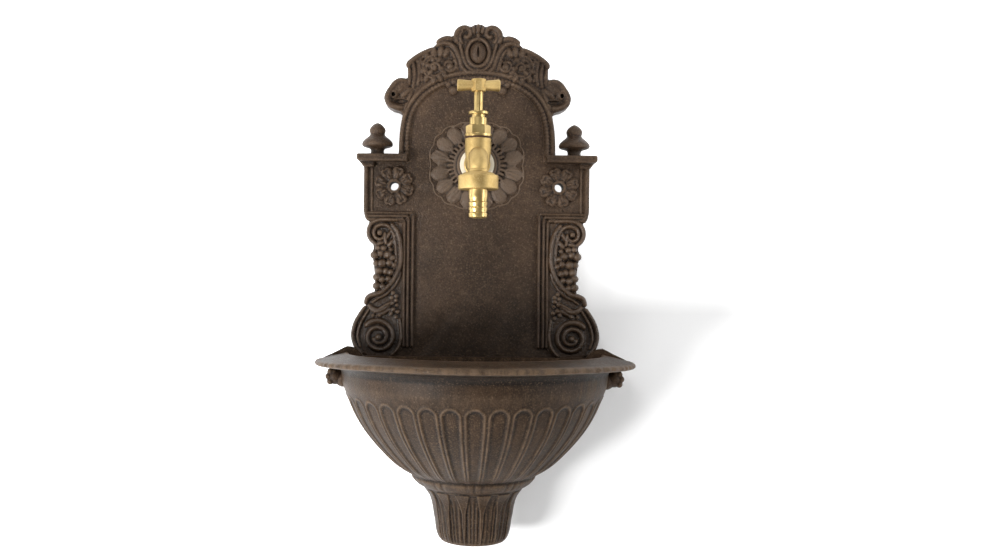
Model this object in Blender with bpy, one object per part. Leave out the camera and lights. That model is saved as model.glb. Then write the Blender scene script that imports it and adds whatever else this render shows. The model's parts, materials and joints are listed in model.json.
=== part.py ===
"""Cast-iron wall fountain with a half-round basin and a brass screw-down bib tap.

Sizes are in millimetres and become metres when an object is made.
X runs to the right and Z up. The wall is the plane Y = 0, and the fountain stands on its -Y side.
"Out" is the distance from the wall, so a point that is out by 30 has Y = -30.
Z = 0 is the line between the two wall screws.
"""

import math

import bmesh
import bpy
from mathutils import Matrix, Vector

MM = 0.001
GAP = 0.3  # between pieces that touch
ROUND = 20  # sides of a turned piece

WASHER_SIDES = 16

# Back plate casting
FIELD_OUT = 20.0  # face of the plain field
SHELL_WALL = 5.0  # thickness of the casting
SCREW_SPACING = 170.3
SCREW_HOLE = 9.3
ROSETTE_RADIUS = 19.6
ROSETTE_OUT = 27.0
ROSETTE_SEAT = 8.6  # radius of the flat ring under a screw head
PIER_INNER = 60.5
PIER_OUTER = 116.7
PIER_TOP = 16.0
PIER_BOTTOM = -35.0
FRAME_WIDTH = 5.0  # roll down the outer side of a pier
FRAME_RISE = 3.4
LEDGE_TOP = 32.5
LEDGE_END = 122.0
LEDGE_HEIGHT = 8.0
LEDGE_OUT = 33.0
ARCHITRAVE_INNER = 62.0
ARCHITRAVE_OUTER = 76.0
ARCHITRAVE_RISE = 4.0
ARCHITRAVE_FOOT = -166.0
ARCH_BEAD = 3.2  # radius of the roll round the arch
APRON_BOTTOM = -352.0
FINIAL_X = 102.0
FINIAL_OUT = 18.5
FINIAL_HEIGHT = 34.0
SHELL_HALF_WIDTH = 48.4
SHELL_HALF_HEIGHT = 44.3
SHELL_HUB = 20.5
SHELL_OUT = 30.0
CREST_TOP = 168.0
CARTOUCHE_DROP = 30.0  # its centre below the top of the crest
CARTOUCHE_HALF_WIDTH = 13.0
CARTOUCHE_HALF_HEIGHT = 16.2
CURL_X = 87.0
CURL_DROP = 76.5
CURL_RADIUS = 9.6
CONSOLE_X = 98.7
UPPER_VOLUTE_Z = -49.0
UPPER_VOLUTE_RADIUS = 13.4
LOWER_VOLUTE_Z = -155.5
LOWER_VOLUTE_RADIUS = 19.0
GRAPE_RADIUS = 7.2
RIB_THICKNESS = 6.0  # stiffening rib between the two screw bosses

# Basin casting
BASIN_WALL = 6.0
RIM_Z = -165.0
RIM_RADIUS = 131.0
LIP_RADIUS = 164.5
LIP_DROP = 9.5
BOWL_FLOOR = -285.0
BOWL_FLOOR_WALL = 8.0
COLLAR_TOP = -301.0
COLLAR_RADIUS = 55.0
FOOT_BOTTOM = -363.5
FOOT_RADIUS = 39.2  # at its waist
EAR_X = 143.0
EAR_Z = -190.0
EAR_RADIUS = 11.0
FLUTES = 18
FLUTE_TURN = 2.6  # degrees, the pattern's turn from the middle
FLUTE_HALF_WIDTH = 8.4
FLUTE_DEPTH = 2.6
FLUTE_TOP = -208.0
FLUTE_BOTTOM = -297.0
BASIN_BACK_TOP = -175.5  # the low stretch of the back wall, behind the consoles

# Basin fixings
BOLT_DIAMETER = 8.0
BOLT_HEAD_ACROSS = 13.0
BOLT_HEAD_HEIGHT = 5.3
BOLT_NUT_HEIGHT = 6.5
BOLT_WASHER = 17.0
BOLT_WASHER_THICKNESS = 1.6
BOLT_SEAL_THICKNESS = 2.5
BOLT_PLACES = ((-78.0, -196.0), (78.0, -196.0), (0.0, -236.0))
BOSS_RADIUS = 11.0

# Waste in the basin's floor
WASTE_OUT = 43.5
WASTE_TUBE = 21.0
WASTE_BORE = 15.0
WASTE_FLANGE = 32.0
WASTE_FLANGE_THICKNESS = 2.5
WASTE_LENGTH = 34.0
WASTE_NUT_ACROSS = 27.0
WASTE_NUT_HEIGHT = 7.0
PLUG_TOP = 24.0
PLUG_DEPTH = 9.0

# Bib tap
TAP_Z = 22.0
TAIL_THREAD = 20.9
TAIL_END_OUT = 6.0
TAIL_BORE = 11.0
WALL_WASHER = 35.0
WALL_WASHER_THICKNESS = 2.0
SHOULDER = 27.0
SHOULDER_THICKNESS = 4.5
BARREL = 24.0
BACKNUT_ACROSS = 27.0
BACKNUT_HEIGHT = 6.0
BACK_WASHER = 30.0
BACK_WASHER_THICKNESS = 1.5
HUB_WALL = 6.0  # plate thickness under the tap's nut
SPINDLE_OUT = 72.0
BODY = 25.9
BODY_BOTTOM = 8.0
BODY_TOP = 43.5
CHAMBER = 19.0
CHAMBER_FLOOR = 22.0
SEAT_TOP = 23.0
SEAT_OUTER = 12.6
SEAT_PORT = 8.0
SPOUT_OUT = 104.0
SPOUT = 17.3
SPOUT_BORE = 11.0
SPOUT_TOP = 24.0  # height of the spout's centre line at its crown
OUTLET_THREAD = 33.0
OUTLET_TOP = 7.0
OUTLET_END = -2.0

# Headwork
GASKET_THICKNESS = 0.9
BONNET_THREAD_LENGTH = 6.8
BONNET_COLLAR = 26.6
BONNET_COLLAR_HEIGHT = 2.9
BONNET_HEX_ACROSS = 21.0
BONNET_HEX_HEIGHT = 8.4
BONNET_NECK = 17.3
BONNET_NECK_HEIGHT = 7.4
SPINDLE_THREAD = 12.0
SPINDLE_THREAD_TOP = 42.0
SPINDLE = 9.1
STUFFING_BOX = 13.4
STUFFING_FLOOR = 53.4
PACKING_HEIGHT = 4.0
GLAND_FLANGE = 19.7
GLAND_FLANGE_HEIGHT = 3.0
GLAND_LIFT = 3.4  # neck of the gland nut that shows above the bonnet
JUMPER_DISC = 13.4
JUMPER_DISC_HEIGHT = 2.5
JUMPER_STEM = 5.0
JUMPER_STEM_LENGTH = 10.0
TAP_WASHER = 12.8
TAP_WASHER_THICKNESS = 2.6
JUMPER_NUT = 5.2
JUMPER_NUT_HEIGHT = 2.2
JUMPER_STUD = 2.6
HANDLE_LENGTH = 42.4
HANDLE_MIDDLE = 9.6
HANDLE_END = 11.7
HANDLE_HUB_ACROSS = 14.1
HANDLE_HUB_HEIGHT = 11.9
HANDLE_Z = 95.6
HANDLE_PIN = 2.6

# Union and hose tail
UNION_NUT = 38.2
UNION_TOP = 4.6
UNION_LIP = 3.0
TAIL_FLANGE = 30.0
TAIL_FLANGE_THICKNESS = 2.0
HOSE_TAIL = 18.2
HOSE_TAIL_BORE = 13.6
HOSE_TAIL_END = -36.0
BARB_PITCH = 5.2
UNION_WASHER_THICKNESS = 1.4
UNION_WASHER_BORE = 15.0

COLOURS = {
    "plate_iron": ((0.075, 0.052, 0.038), 0.62, 0.35),
    "basin_iron": ((0.125, 0.098, 0.072), 0.66, 0.30),
    "brass": ((0.68, 0.45, 0.14), 0.34, 1.0),
    "turned_brass": ((0.74, 0.52, 0.20), 0.18, 1.0),
    "steel": ((0.42, 0.42, 0.41), 0.38, 1.0),
    "rubber": ((0.03, 0.03, 0.03), 0.75, 0.0),
    "cream_nylon": ((0.78, 0.74, 0.62), 0.50, 0.0),
    "fibre": ((0.32, 0.10, 0.06), 0.70, 0.0),
    "packing": ((0.55, 0.50, 0.38), 0.80, 0.0),
}


def clear_scene():
    for obj in list(bpy.data.objects):
        bpy.data.objects.remove(obj)


def make_materials():
    made = {}
    for name, (colour, roughness, metallic) in COLOURS.items():
        material = bpy.data.materials.new(name)
        material.use_nodes = True
        shader = material.node_tree.nodes["Principled BSDF"]
        shader.inputs["Base Color"].default_value = (*colour, 1.0)
        shader.inputs["Roughness"].default_value = roughness
        shader.inputs["Metallic"].default_value = metallic
        made[name] = material
    return made


# Shapes

def curve_through(points, steps=4):
    """Points of a smooth curve through the given ones, which stay on it."""
    line = [Vector(p) for p in points]
    ends = [2 * line[0] - line[1], *line, 2 * line[-1] - line[-2]]
    made = []
    for i in range(1, len(ends) - 2):
        before, start, end, after = ends[i - 1:i + 3]
        for step in range(steps):
            t = step / steps
            made.append(0.5 * (2 * start + (end - before) * t
                               + (2 * before - 5 * start + 4 * end - after) * t * t
                               + (3 * start - before - 3 * end + after) * t ** 3))
    made.append(line[-1])
    return made


def loft(rings, closed=False):
    """Skin over rings of points. Its ends are flat, unless the last ring meets the first."""
    bm = bmesh.new()
    loops = [[bm.verts.new(p) for p in ring] for ring in rings]
    nexts = loops[1:] + loops[:1] if closed else loops[1:]
    for low, high in zip(loops, nexts):
        for i in range(len(low)):
            j = (i + 1) % len(low)
            bm.faces.new((low[i], low[j], high[j], high[i]))
    if not closed:
        bm.faces.new(loops[0])
        bm.faces.new(loops[-1])
    bmesh.ops.remove_doubles(bm, verts=bm.verts, dist=0.001)
    bmesh.ops.recalc_face_normals(bm, faces=bm.faces)
    return bm


def turned(profile, hollow=False, sides=ROUND):
    """Solid of revolution about Z from (radius, height) pairs. A hollow one has a closed profile."""
    bm = bmesh.new()
    line = [bm.verts.new((radius, 0.0, height)) for radius, height in profile]
    edges = [bm.edges.new(pair) for pair in zip(line, line[1:])]
    if hollow:
        edges.append(bm.edges.new((line[-1], line[0])))
    bmesh.ops.spin(bm, geom=line + edges, cent=(0, 0, 0), axis=(0, 0, 1),
                   angle=math.tau, steps=sides, use_merge=True)
    bmesh.ops.remove_doubles(bm, verts=bm.verts, dist=0.001)
    bmesh.ops.recalc_face_normals(bm, faces=bm.faces)
    return bm


def tube(outer, inner, low, high, sides=WASHER_SIDES):
    return turned([(inner, low), (outer, low), (outer, high), (inner, high)], hollow=True, sides=sides)


def rod(radius, low, high, sides=ROUND):
    return turned([(0, low), (radius, low), (radius, high), (0, high)], sides=sides)


def faceted(across, low, high, sides=6, chamfer=0.6):
    """Nut blank with its corners taken off."""
    corner = across / 2 / math.cos(math.pi / sides)
    rings = []
    for height, radius in ((low, corner - chamfer), (low + chamfer, corner),
                           (high - chamfer, corner), (high, corner - chamfer)):
        turns = [math.tau * (i + 0.5) / sides for i in range(sides)]
        rings.append([(radius * math.cos(a), radius * math.sin(a), height) for a in turns])
    return loft(rings)


def prism(outline, near, far, draft=0.0):
    """Solid between two distances from the wall. With a draft its far face is smaller all round."""
    xs = [p[0] for p in outline]
    zs = [p[1] for p in outline]
    middle = ((max(xs) + min(xs)) / 2, (max(zs) + min(zs)) / 2)
    half = ((max(xs) - min(xs)) / 2, (max(zs) - min(zs)) / 2)
    shrink = (1 - draft / half[0], 1 - draft / half[1])
    rings = [[(x, -near, z) for x, z in outline]]
    if draft:
        rings.append([(x, -(far - draft), z) for x, z in outline])
    rings.append([(middle[0] + (x - middle[0]) * shrink[0], -far, middle[1] + (z - middle[1]) * shrink[1])
                  for x, z in outline])
    return loft(rings)


def block(x0, x1, z0, z1, near, far, draft=0.0):
    return prism([(x0, z0), (x1, z0), (x1, z1), (x0, z1)], near, far, draft)


def sweep(path, radii, sides=10, flat=1.0):
    """Round bar along (x, out, z) points, as thick as radii says and flattened across the wall."""
    line = [Vector((x, -out, z)) for x, out, z in path]
    rings = []
    for i, point in enumerate(line):
        ahead = (line[min(i + 1, len(line) - 1)] - line[max(i - 1, 0)]).normalized()
        across = ahead.cross(Vector((0, 1, 0)))
        if across.length < 0.1:
            across = Vector((1, 0, 0))
        across.normalize()
        up = across.cross(ahead).normalized()
        rings.append([point + radii[i] * (across * math.cos(a) + up * flat * math.sin(a))
                      for a in (math.tau * k / sides for k in range(sides))])
    return loft(rings)


def relief_line(points, out, start_radius, end_radius, steps=3, sides=6, flat=1.35):
    """Tapered bar over the face of a casting, through (x, z) points at one distance out."""
    line = curve_through([(x, z) for x, z in points], steps)
    count = len(line) - 1
    radii = [start_radius + (end_radius - start_radius) * i / count for i in range(count + 1)]
    return sweep([(p[0], out, p[1]) for p in line], radii, sides, flat)


def spiral(centre, radius, turns, start, side, out, thickness, inner=0.36):
    """Volute: a bar that winds inwards to its eye, clear of itself. Side is 1 or -1 and mirrors it."""
    count = int(turns * 9)
    points = []
    radii = []
    for i in range(count + 1):
        share = i / count
        angle = math.radians(start) + math.tau * turns * share
        reach = (radius - thickness) * (1 - (1 - inner) * share)
        points.append((side * (centre[0] + reach * math.cos(angle)), out, centre[1] + reach * math.sin(angle)))
        radii.append(thickness * (1 - 0.35 * share))
    return sweep(points, radii, 6, 1.6)


def lobed_dome(centre, half_width, half_height, lobes, lobe_depth, heights, sides):
    """Petalled dome. Heights are (share of the radius, out) pairs from the rim to the middle."""
    rings = []
    for share, out in heights:
        ring = []
        for k in range(sides):
            angle = math.tau * k / sides
            scallop = abs(math.sin(lobes * angle / 2))
            swell = 1 - lobe_depth * (1 - scallop) * min(1.0, share * 1.2) if share > 0.5 else 1.0
            ring.append((centre[0] + half_width * share * swell * math.cos(angle), -out,
                         centre[1] + half_height * share * swell * math.sin(angle)))
        rings.append(ring)
    return loft(rings)


def ball(centre, radius, sides=10, squash=(1, 1, 1), turn=20):
    """Ball whose pole leans by turn degrees, so that neighbours share no flat face."""
    bm = bmesh.new()
    bmesh.ops.create_uvsphere(bm, u_segments=sides, v_segments=max(5, sides // 2 + 1), radius=radius)
    bmesh.ops.rotate(bm, cent=(0, 0, 0), matrix=Matrix.Rotation(math.radians(turn), 3, (0.6, 0.3, 0.74)),
                     verts=bm.verts)
    bmesh.ops.scale(bm, vec=squash, verts=bm.verts)
    bmesh.ops.translate(bm, vec=(centre[0], -centre[1], centre[2]), verts=bm.verts)
    return bm


def lay_out(bm, x, out, z):
    """Turn a solid about Z so that its axis points out from the wall, and set it there."""
    bmesh.ops.transform(bm, matrix=Matrix.Rotation(math.radians(90), 4, "X"), verts=bm.verts)
    bmesh.ops.translate(bm, vec=(x, -out, z), verts=bm.verts)
    return bm


def moved(bm, x, out, z):
    bmesh.ops.translate(bm, vec=(x, -out, z), verts=bm.verts)
    return bm


# Objects

def add(name, bm, material, origin=(0, 0, 0), smooth=35):
    """Object whose mesh is given in the fountain's own place, with its origin at (x, out, z)."""
    place = Vector((origin[0], -origin[1], origin[2]))
    bmesh.ops.translate(bm, vec=-place, verts=bm.verts)
    bmesh.ops.scale(bm, vec=(MM, MM, MM), verts=bm.verts)
    mesh = bpy.data.meshes.new(name)
    bm.to_mesh(mesh)
    bm.free()
    mesh.materials.append(material)
    mesh.shade_smooth()
    mesh.set_sharp_from_angle(angle=math.radians(smooth))
    obj = bpy.data.objects.new(name, mesh)
    obj.location = place * MM
    bpy.context.scene.collection.objects.link(obj)
    bpy.context.view_layer.update()
    return obj


def merge_slivers(mesh):
    """Close up edges far shorter than any real feature, which a Boolean can leave."""
    bm = bmesh.new()
    bm.from_mesh(mesh)
    bmesh.ops.remove_doubles(bm, verts=bm.verts, dist=0.004 * MM)
    bmesh.ops.dissolve_degenerate(bm, edges=bm.edges, dist=0.004 * MM)
    bmesh.ops.dissolve_limit(bm, verts=bm.verts, edges=bm.edges, angle_limit=math.radians(0.2))
    bm.to_mesh(mesh)
    bm.free()


def combine(body, bm, operation):
    """Join a shape to the body, or cut it away, and keep the result as the body's own mesh."""
    tool = add("tool", bm, body.data.materials[0])
    modifier = body.modifiers.new(operation, "BOOLEAN")
    modifier.operation = operation
    modifier.solver = "EXACT"
    modifier.object = tool
    graph = bpy.context.evaluated_depsgraph_get()
    mesh = bpy.data.meshes.new_from_object(body.evaluated_get(graph))
    body.modifiers.clear()
    body.data = mesh
    bpy.data.objects.remove(tool)
    merge_slivers(mesh)


def join(body, bm):
    combine(body, bm, "UNION")


def cut(body, bm):
    combine(body, bm, "DIFFERENCE")


def finish_casting(body, smooth=35):
    body.data.shade_smooth()
    body.data.set_sharp_from_angle(angle=math.radians(smooth))


# Back plate

CREST = [  # (x, drop below the top of the crest)
    [(0, 0), (4, 0.6), (7, 2.4)],
    [(7, 2.4), (14, 1.5), (20.5, 4.7), (25.8, 12)],
    [(25.8, 12), (33, 13.5), (39.7, 16.5), (46.1, 23.7)],
    [(46.1, 23.7), (58.4, 30.1), (67.9, 36.9), (72.3, 42.3), (72.4, 55.7)],
    [(72.4, 55.7), (79, 55.8), (84, 58.6), (88.5, 64.4)],
    [(88.5, 64.4), (95.3, 72), (96.7, 77.4), (93.8, 84.3), (87.7, 88.4), (80.9, 90.3), (77.3, 94.7)],
    [(77.3, 94.7), (78.1, 105.2), (79.4, 116)],
]
ARCH = [(71.5, 113), (63.5, 92), (48.5, 71), (30.5, 58), (13, 53.5), (0, 55)]
CREST_HOLLOW = [(0, 8), (18, 11), (22, 19), (40, 27), (62, 42), (66, 63), (82, 68), (88, 76), (80, 84), (71, 92)]
CONSOLE = [
    [(110.5, -36.6), (112.8, -46), (110.7, -54.6), (105.6, -63)],
    [(105.6, -63), (108.3, -71), (106.1, -77.3), (104.8, -88.2), (104.2, -97.1), (105, -110.2)],
    [(105, -110.2), (111.6, -112.8), (114, -124.6), (120, -134.2), (126.1, -143.2), (128, -154.8), (124, -168)],
]
APRON = [(124, -168), (119, -190), (112, -212), (101, -236), (86, -258), (66, -276), (46, -291),
         (38, -306), (33, -322), (29, -338), (23, APRON_BOTTOM)]


def below_top(points, side=1):
    """Points of the crest, which are given as drops below its top."""
    return [(side * x, CREST_TOP - drop) for x, drop in points]


def plate_half_outline():
    points = []
    for span in CREST:
        points += [tuple(p) for p in curve_through(below_top(span), 2)][:-1]
    points += [(81.4, LEDGE_TOP - 1.5), (LEDGE_END - 4, LEDGE_TOP - 2.5), (PIER_OUTER, PIER_TOP + 4),
               (PIER_OUTER, PIER_BOTTOM)]
    for span in CONSOLE:
        points += [tuple(p) for p in curve_through(span, 2)][:-1]
    points += APRON
    return points


def mirrored(half):
    """Whole outline from the right half, which starts at the top."""
    left = [(-x, z) for x, z in reversed(half) if x > 0.01]
    return half + left


def hollow_half_outline():
    wall = SHELL_WALL
    console = [(110, -40), (109, -54), (104, -64), (103, -104), (112, -120), (124, -146), (124, -166)]
    apron = [(118, -190), (111, -211), (100, -234), (85, -254), (65, -271), (45, -286), (36, -304), (31, -322)]
    return (below_top(CREST_HOLLOW) + [(79 - wall, 26), (PIER_OUTER - wall, PIER_TOP - 1),
                                       (PIER_OUTER - wall, PIER_BOTTOM + wall - 1)]
            + [(x - wall, z) for x, z in console + apron] + [(26 - wall, APRON_BOTTOM + wall)])


def base_plate(iron):
    plate = add("back_plate", prism(mirrored(plate_half_outline()), 0, FIELD_OUT), iron)
    cut(plate, prism(mirrored(hollow_half_outline()), -1, FIELD_OUT - SHELL_WALL))
    return plate


def side_block(side, inner, outer, low, high, near, far, draft):
    left, right = sorted((side * inner, side * outer))
    return block(left, right, low, high, near, far, draft)


def add_mouldings(plate):
    """Frame lines of the piers, ledges, architraves and the roll round the arch."""
    deep = FIELD_OUT - 2
    architrave_face = FIELD_OUT + ARCHITRAVE_RISE
    edge = PIER_OUTER - 0.4
    band_top = PIER_BOTTOM + FRAME_WIDTH
    for side in (-1, 1):
        join(plate, side_block(side, edge - FRAME_WIDTH, edge, PIER_BOTTOM + 0.5, PIER_TOP, deep,
                               FIELD_OUT + FRAME_RISE, 1.2))
        join(plate, side_block(side, ARCHITRAVE_INNER, edge - 1, PIER_BOTTOM + 0.5, band_top, deep,
                               FIELD_OUT + FRAME_RISE - 0.6, 1.2))
        join(plate, side_block(side, PIER_INNER + 2, LEDGE_END, LEDGE_TOP - LEDGE_HEIGHT, LEDGE_TOP, 2,
                               LEDGE_OUT, 1.6))
        join(plate, side_block(side, PIER_INNER + 1, LEDGE_END - 3.5, PIER_TOP, LEDGE_TOP - LEDGE_HEIGHT / 2, 3,
                               LEDGE_OUT - 4, 2.5))
        join(plate, side_block(side, ARCHITRAVE_INNER, ARCHITRAVE_OUTER, ARCHITRAVE_FOOT, band_top - 1, deep,
                               architrave_face, 1))
        for x in (ARCHITRAVE_INNER + 2.2, ARCHITRAVE_OUTER - 2.2):
            line = [(side * x, ARCHITRAVE_FOOT + 0.5), (side * x, -100), (side * x, PIER_BOTTOM + 2)]
            join(plate, relief_line(line, architrave_face, 2.0, 2.0, 1))
        arch = [(side * 72.5, LEDGE_TOP - 6.5)] + below_top(ARCH, side)
        join(plate, relief_line(arch, FIELD_OUT - 0.2, ARCH_BEAD, ARCH_BEAD, 2))
        join(plate, ball((side * 25.5, FIELD_OUT + 2.5, CREST_TOP - 64.5), 4.6))


def finial(side):
    base = LEDGE_TOP - 1
    profile = [(0, base), (7.2, base), (6.7, base + 2.5), (6.7, base + 7), (9.4, base + 8.2),
               (15.6, base + 9.4), (16.4, base + 11.6), (14.6, base + 15), (11.0, base + 19),
               (7.2, base + 22.4), (7.0, base + 24), (8.3, base + 27), (7.6, base + 31),
               (4.4, base + 34), (0, base + FINIAL_HEIGHT + 1)]
    return moved(turned(profile, sides=12), side * FINIAL_X, FINIAL_OUT, 0)


def rosette(side):
    heights = [(1.0, FIELD_OUT - 2), (0.97, ROSETTE_OUT - 3.4), (0.70, ROSETTE_OUT - 1.4), (0.62, ROSETTE_OUT - 2.8),
               (0.52, ROSETTE_OUT), (ROSETTE_SEAT / ROSETTE_RADIUS * 0.7, ROSETTE_OUT)]
    centre = (side * SCREW_SPACING / 2, 0.0)
    return lobed_dome(centre, ROSETTE_RADIUS, ROSETTE_RADIUS, 10, 0.13, heights, 20)


def tap_shell():
    hub = SHELL_HUB / SHELL_HALF_WIDTH
    heights = [(1.0, FIELD_OUT - 2), (0.99, FIELD_OUT + 3), (0.90, FIELD_OUT + 5.2), (0.72, FIELD_OUT + 5.8),
               (0.60, FIELD_OUT + 4.6), (hub + 0.08, FIELD_OUT + 7.4), (hub, SHELL_OUT)]
    return lobed_dome((0.0, TAP_Z), SHELL_HALF_WIDTH, SHELL_HALF_HEIGHT, 16, 0.10, heights, 32)


def add_crest(plate):
    """Cartouche, palmette lobes, scrolling leaves and their end curls."""
    oval = [(1.0, FIELD_OUT - 2), (1.0, FIELD_OUT + 7), (0.8, FIELD_OUT + 10), (0.62, FIELD_OUT + 6.5),
            (0.5, FIELD_OUT + 9.5), (0.2, FIELD_OUT + 11)]
    middle = CREST_TOP - CARTOUCHE_DROP
    join(plate, lobed_dome((0.0, middle), CARTOUCHE_HALF_WIDTH, CARTOUCHE_HALF_HEIGHT, 2, 0.0, oval, 24))
    reach = CARTOUCHE_DROP - 3
    for turn in (-52, -27, 0, 27, 52):
        angle = math.radians(90 + turn)
        points = [(r * math.cos(angle) * 0.95, middle + r * math.sin(angle)) for r in (13, 19, reach)]
        join(plate, relief_line(points, FIELD_OUT - 0.5, 2.6, 4.4, 2, flat=1.6))
    for side in (-1, 1):
        leaf = below_top([(10, 47), (24, 37), (40, 31), (56, 38), (68, 51)], side)
        join(plate, relief_line(leaf, FIELD_OUT - 0.3, 4.0, 6.4, 2))
        frond = below_top([(22, 19), (36, 23), (50, 31)], side)
        join(plate, relief_line(frond, FIELD_OUT - 0.6, 4.6, 5.0, 2))
        rim = below_top([(66, 48), (74, 66), (79, 76)], side)
        join(plate, relief_line(rim, FIELD_OUT - 0.7, 5.6, 4.2, 2))
        join(plate, spiral((CURL_X, CREST_TOP - CURL_DROP), CURL_RADIUS, 0.95, 150, side, FIELD_OUT - 0.4, 2.4, 0.3))


def eye(centre, radius):
    """Boss in the middle of a volute."""
    heights = [(1.0, FIELD_OUT - 2.3), (1.0, FIELD_OUT + 4.6), (0.75, FIELD_OUT + 7.4), (0.3, FIELD_OUT + 8.6)]
    return lobed_dome(centre, radius, radius, 2, 0.0, heights, 11)


def add_console(plate, side):
    """Scrolled bracket: two volutes, the rib between them, a grape bunch and a leaf."""
    face = FIELD_OUT - 0.4
    join(plate, spiral((CONSOLE_X, UPPER_VOLUTE_Z), UPPER_VOLUTE_RADIUS, 1.1, 200, side, face, 2.7, 0.42))
    join(plate, eye((side * CONSOLE_X, UPPER_VOLUTE_Z), 5.6))
    rib = [(76.5, -38), (77.5, -56), (76.4, -75), (82, -95.5), (91.2, -107), (101.5, -113), (110, -115)]
    join(plate, relief_line([(side * x, z) for x, z in rib], face, 3.6, 3.0, 2))
    for row, (count, z) in enumerate(((2, -70), (2, -81), (1, -93))):
        for k in range(count):
            x = 94.5 + (k - (count - 1) / 2) * 11
            lean = 31 + 37 * row + 23 * k
            place = (side * x, face + 1.6 - 0.3 * k, z + 0.4 * k)
            join(plate, ball(place, GRAPE_RADIUS, 6, turn=side * lean))
    for shift in (0, 8.5, 17):
        leaf = [(80 + shift * 0.6, -112 - shift * 0.3), (96 + shift * 0.5, -121 - shift * 0.6),
                (110 + shift * 0.4, -124 - shift)]
        join(plate, relief_line([(side * x, z) for x, z in leaf], face, 3.2, 4.2, 2))
    join(plate, spiral((CONSOLE_X + 1, LOWER_VOLUTE_Z), LOWER_VOLUTE_RADIUS, 1.3, 60, side, face, 3.7, 0.38))
    join(plate, eye((side * (CONSOLE_X + 1), LOWER_VOLUTE_Z), 7.0))


def add_back_ribs(plate):
    """Bosses that the screws and bolts pass through, and the rib between the screw bosses."""
    depth = FIELD_OUT - SHELL_WALL + 1
    for side in (-1, 1):
        join(plate, lay_out(rod(BOSS_RADIUS, 0, depth), side * SCREW_SPACING / 2, 0, 0))
    reach = SCREW_SPACING / 2 - BOSS_RADIUS + 2
    half = RIB_THICKNESS / 2
    join(plate, block(-reach, reach, -half, half, 0, depth))


def tap_seat_out():
    return SHELL_OUT - HUB_WALL


def drill_plate(plate):
    cut(plate, lay_out(rod(SHELL_HUB + 1, 0, tap_seat_out() + 1), 0, -1, TAP_Z))
    cut(plate, lay_out(rod(TAIL_THREAD / 2 + 2 * GAP, 0, 40), 0, 0, TAP_Z))
    for side in (-1, 1):
        cut(plate, lay_out(rod(SCREW_HOLE / 2, 0, 50), side * SCREW_SPACING / 2, -2, 0))
    for x, z in BOLT_PLACES:
        cut(plate, lay_out(rod(BOLT_DIAMETER / 2 + GAP, 0, 40, 12), x, 0, z))


def make_plate(iron):
    plate = base_plate(iron)
    add_mouldings(plate)
    for side in (-1, 1):
        join(plate, finial(side))
        join(plate, rosette(side))
        add_console(plate, side)
    join(plate, tap_shell())
    add_crest(plate)
    add_back_ribs(plate)
    drill_plate(plate)
    finish_casting(plate)
    return plate


# Basin

def basin_back_out():
    return FIELD_OUT + GAP


BOWL = [(135, -203), (130.5, -215), (124, -230.4), (115.5, -247), (104, -262), (91, -275.5), (77, -287.5),
        (66, -295.5)]  # outer face of the bowl, (radius, z)


def bowl_outside():
    """Half profile from the middle of the top, over the lip and down to the foot."""
    edge = RIM_Z - LIP_DROP
    lip = [(0, RIM_Z), (RIM_RADIUS, RIM_Z), (RIM_RADIUS + 5, RIM_Z - 0.6), (LIP_RADIUS - 3.5, edge),
           (LIP_RADIUS, edge - 2.2), (LIP_RADIUS, edge - 4.8), (LIP_RADIUS - 3, edge - 6.8),
           (LIP_RADIUS - 20, edge - 7.5), (138, edge - 12)]
    collar = [(COLLAR_RADIUS + 2.5, COLLAR_TOP), (COLLAR_RADIUS, COLLAR_TOP - 2.5), (COLLAR_RADIUS, COLLAR_TOP - 8.5),
              (COLLAR_RADIUS - 3.5, COLLAR_TOP - 11), (COLLAR_RADIUS - 6.5, COLLAR_TOP - 12.5)]
    foot = [(FOOT_RADIUS + 6.8, -317), (FOOT_RADIUS + 1.8, -329), (FOOT_RADIUS, -343), (FOOT_RADIUS - 2.8, -358),
            (FOOT_RADIUS - 5.2, FOOT_BOTTOM), (0, FOOT_BOTTOM)]
    return lip + BOWL + collar + foot


def bowl_inside():
    wall = BASIN_WALL
    rim = [(0, RIM_Z + 2), (RIM_RADIUS - 1, RIM_Z + 2), (RIM_RADIUS - 1.2, RIM_Z - 1), (RIM_RADIUS - 2, -175)]
    side = [(radius - wall, z + 0.28 * wall * k ** 0.5) for k, (radius, z) in enumerate(BOWL[:6])]
    return rim + side + [(70, BOWL_FLOOR + 4), (50, BOWL_FLOOR), (0, BOWL_FLOOR)]


def foot_inside():
    wall = BASIN_WALL
    top = BOWL_FLOOR - BOWL_FLOOR_WALL
    inner = COLLAR_RADIUS - 1 - wall
    return [(0, top), (inner, top), (inner, COLLAR_TOP - 4), (FOOT_RADIUS + 6 - wall, -317),
            (FOOT_RADIUS + 1.4 - wall, -329), (FOOT_RADIUS - wall, -343), (FOOT_RADIUS - 5.2 - wall, FOOT_BOTTOM - 1),
            (0, FOOT_BOTTOM - 1)]


def half_round(profile, axis_out, steps=24):
    """Half turn of a profile about an upright axis, flat towards the wall."""
    rings = []
    for step in range(steps + 1):
        angle = -math.pi * step / steps
        rings.append([(radius * math.cos(angle), radius * math.sin(angle) - axis_out, height)
                      for radius, height in profile])
    return loft(rings)


def hollow_round(profile):
    """The basin's own half round, cut off flat at the inner face of its back wall."""
    bm = half_round(profile, basin_back_out())
    wall = Vector((0, -(basin_back_out() + BASIN_WALL), 0))
    bmesh.ops.bisect_plane(bm, geom=bm.verts[:] + bm.edges[:] + bm.faces[:], plane_co=wall, plane_no=(0, 1, 0),
                           clear_outer=True)
    bmesh.ops.holes_fill(bm, edges=[edge for edge in bm.edges if edge.is_boundary])
    bmesh.ops.recalc_face_normals(bm, faces=bm.faces)
    return bm


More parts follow.
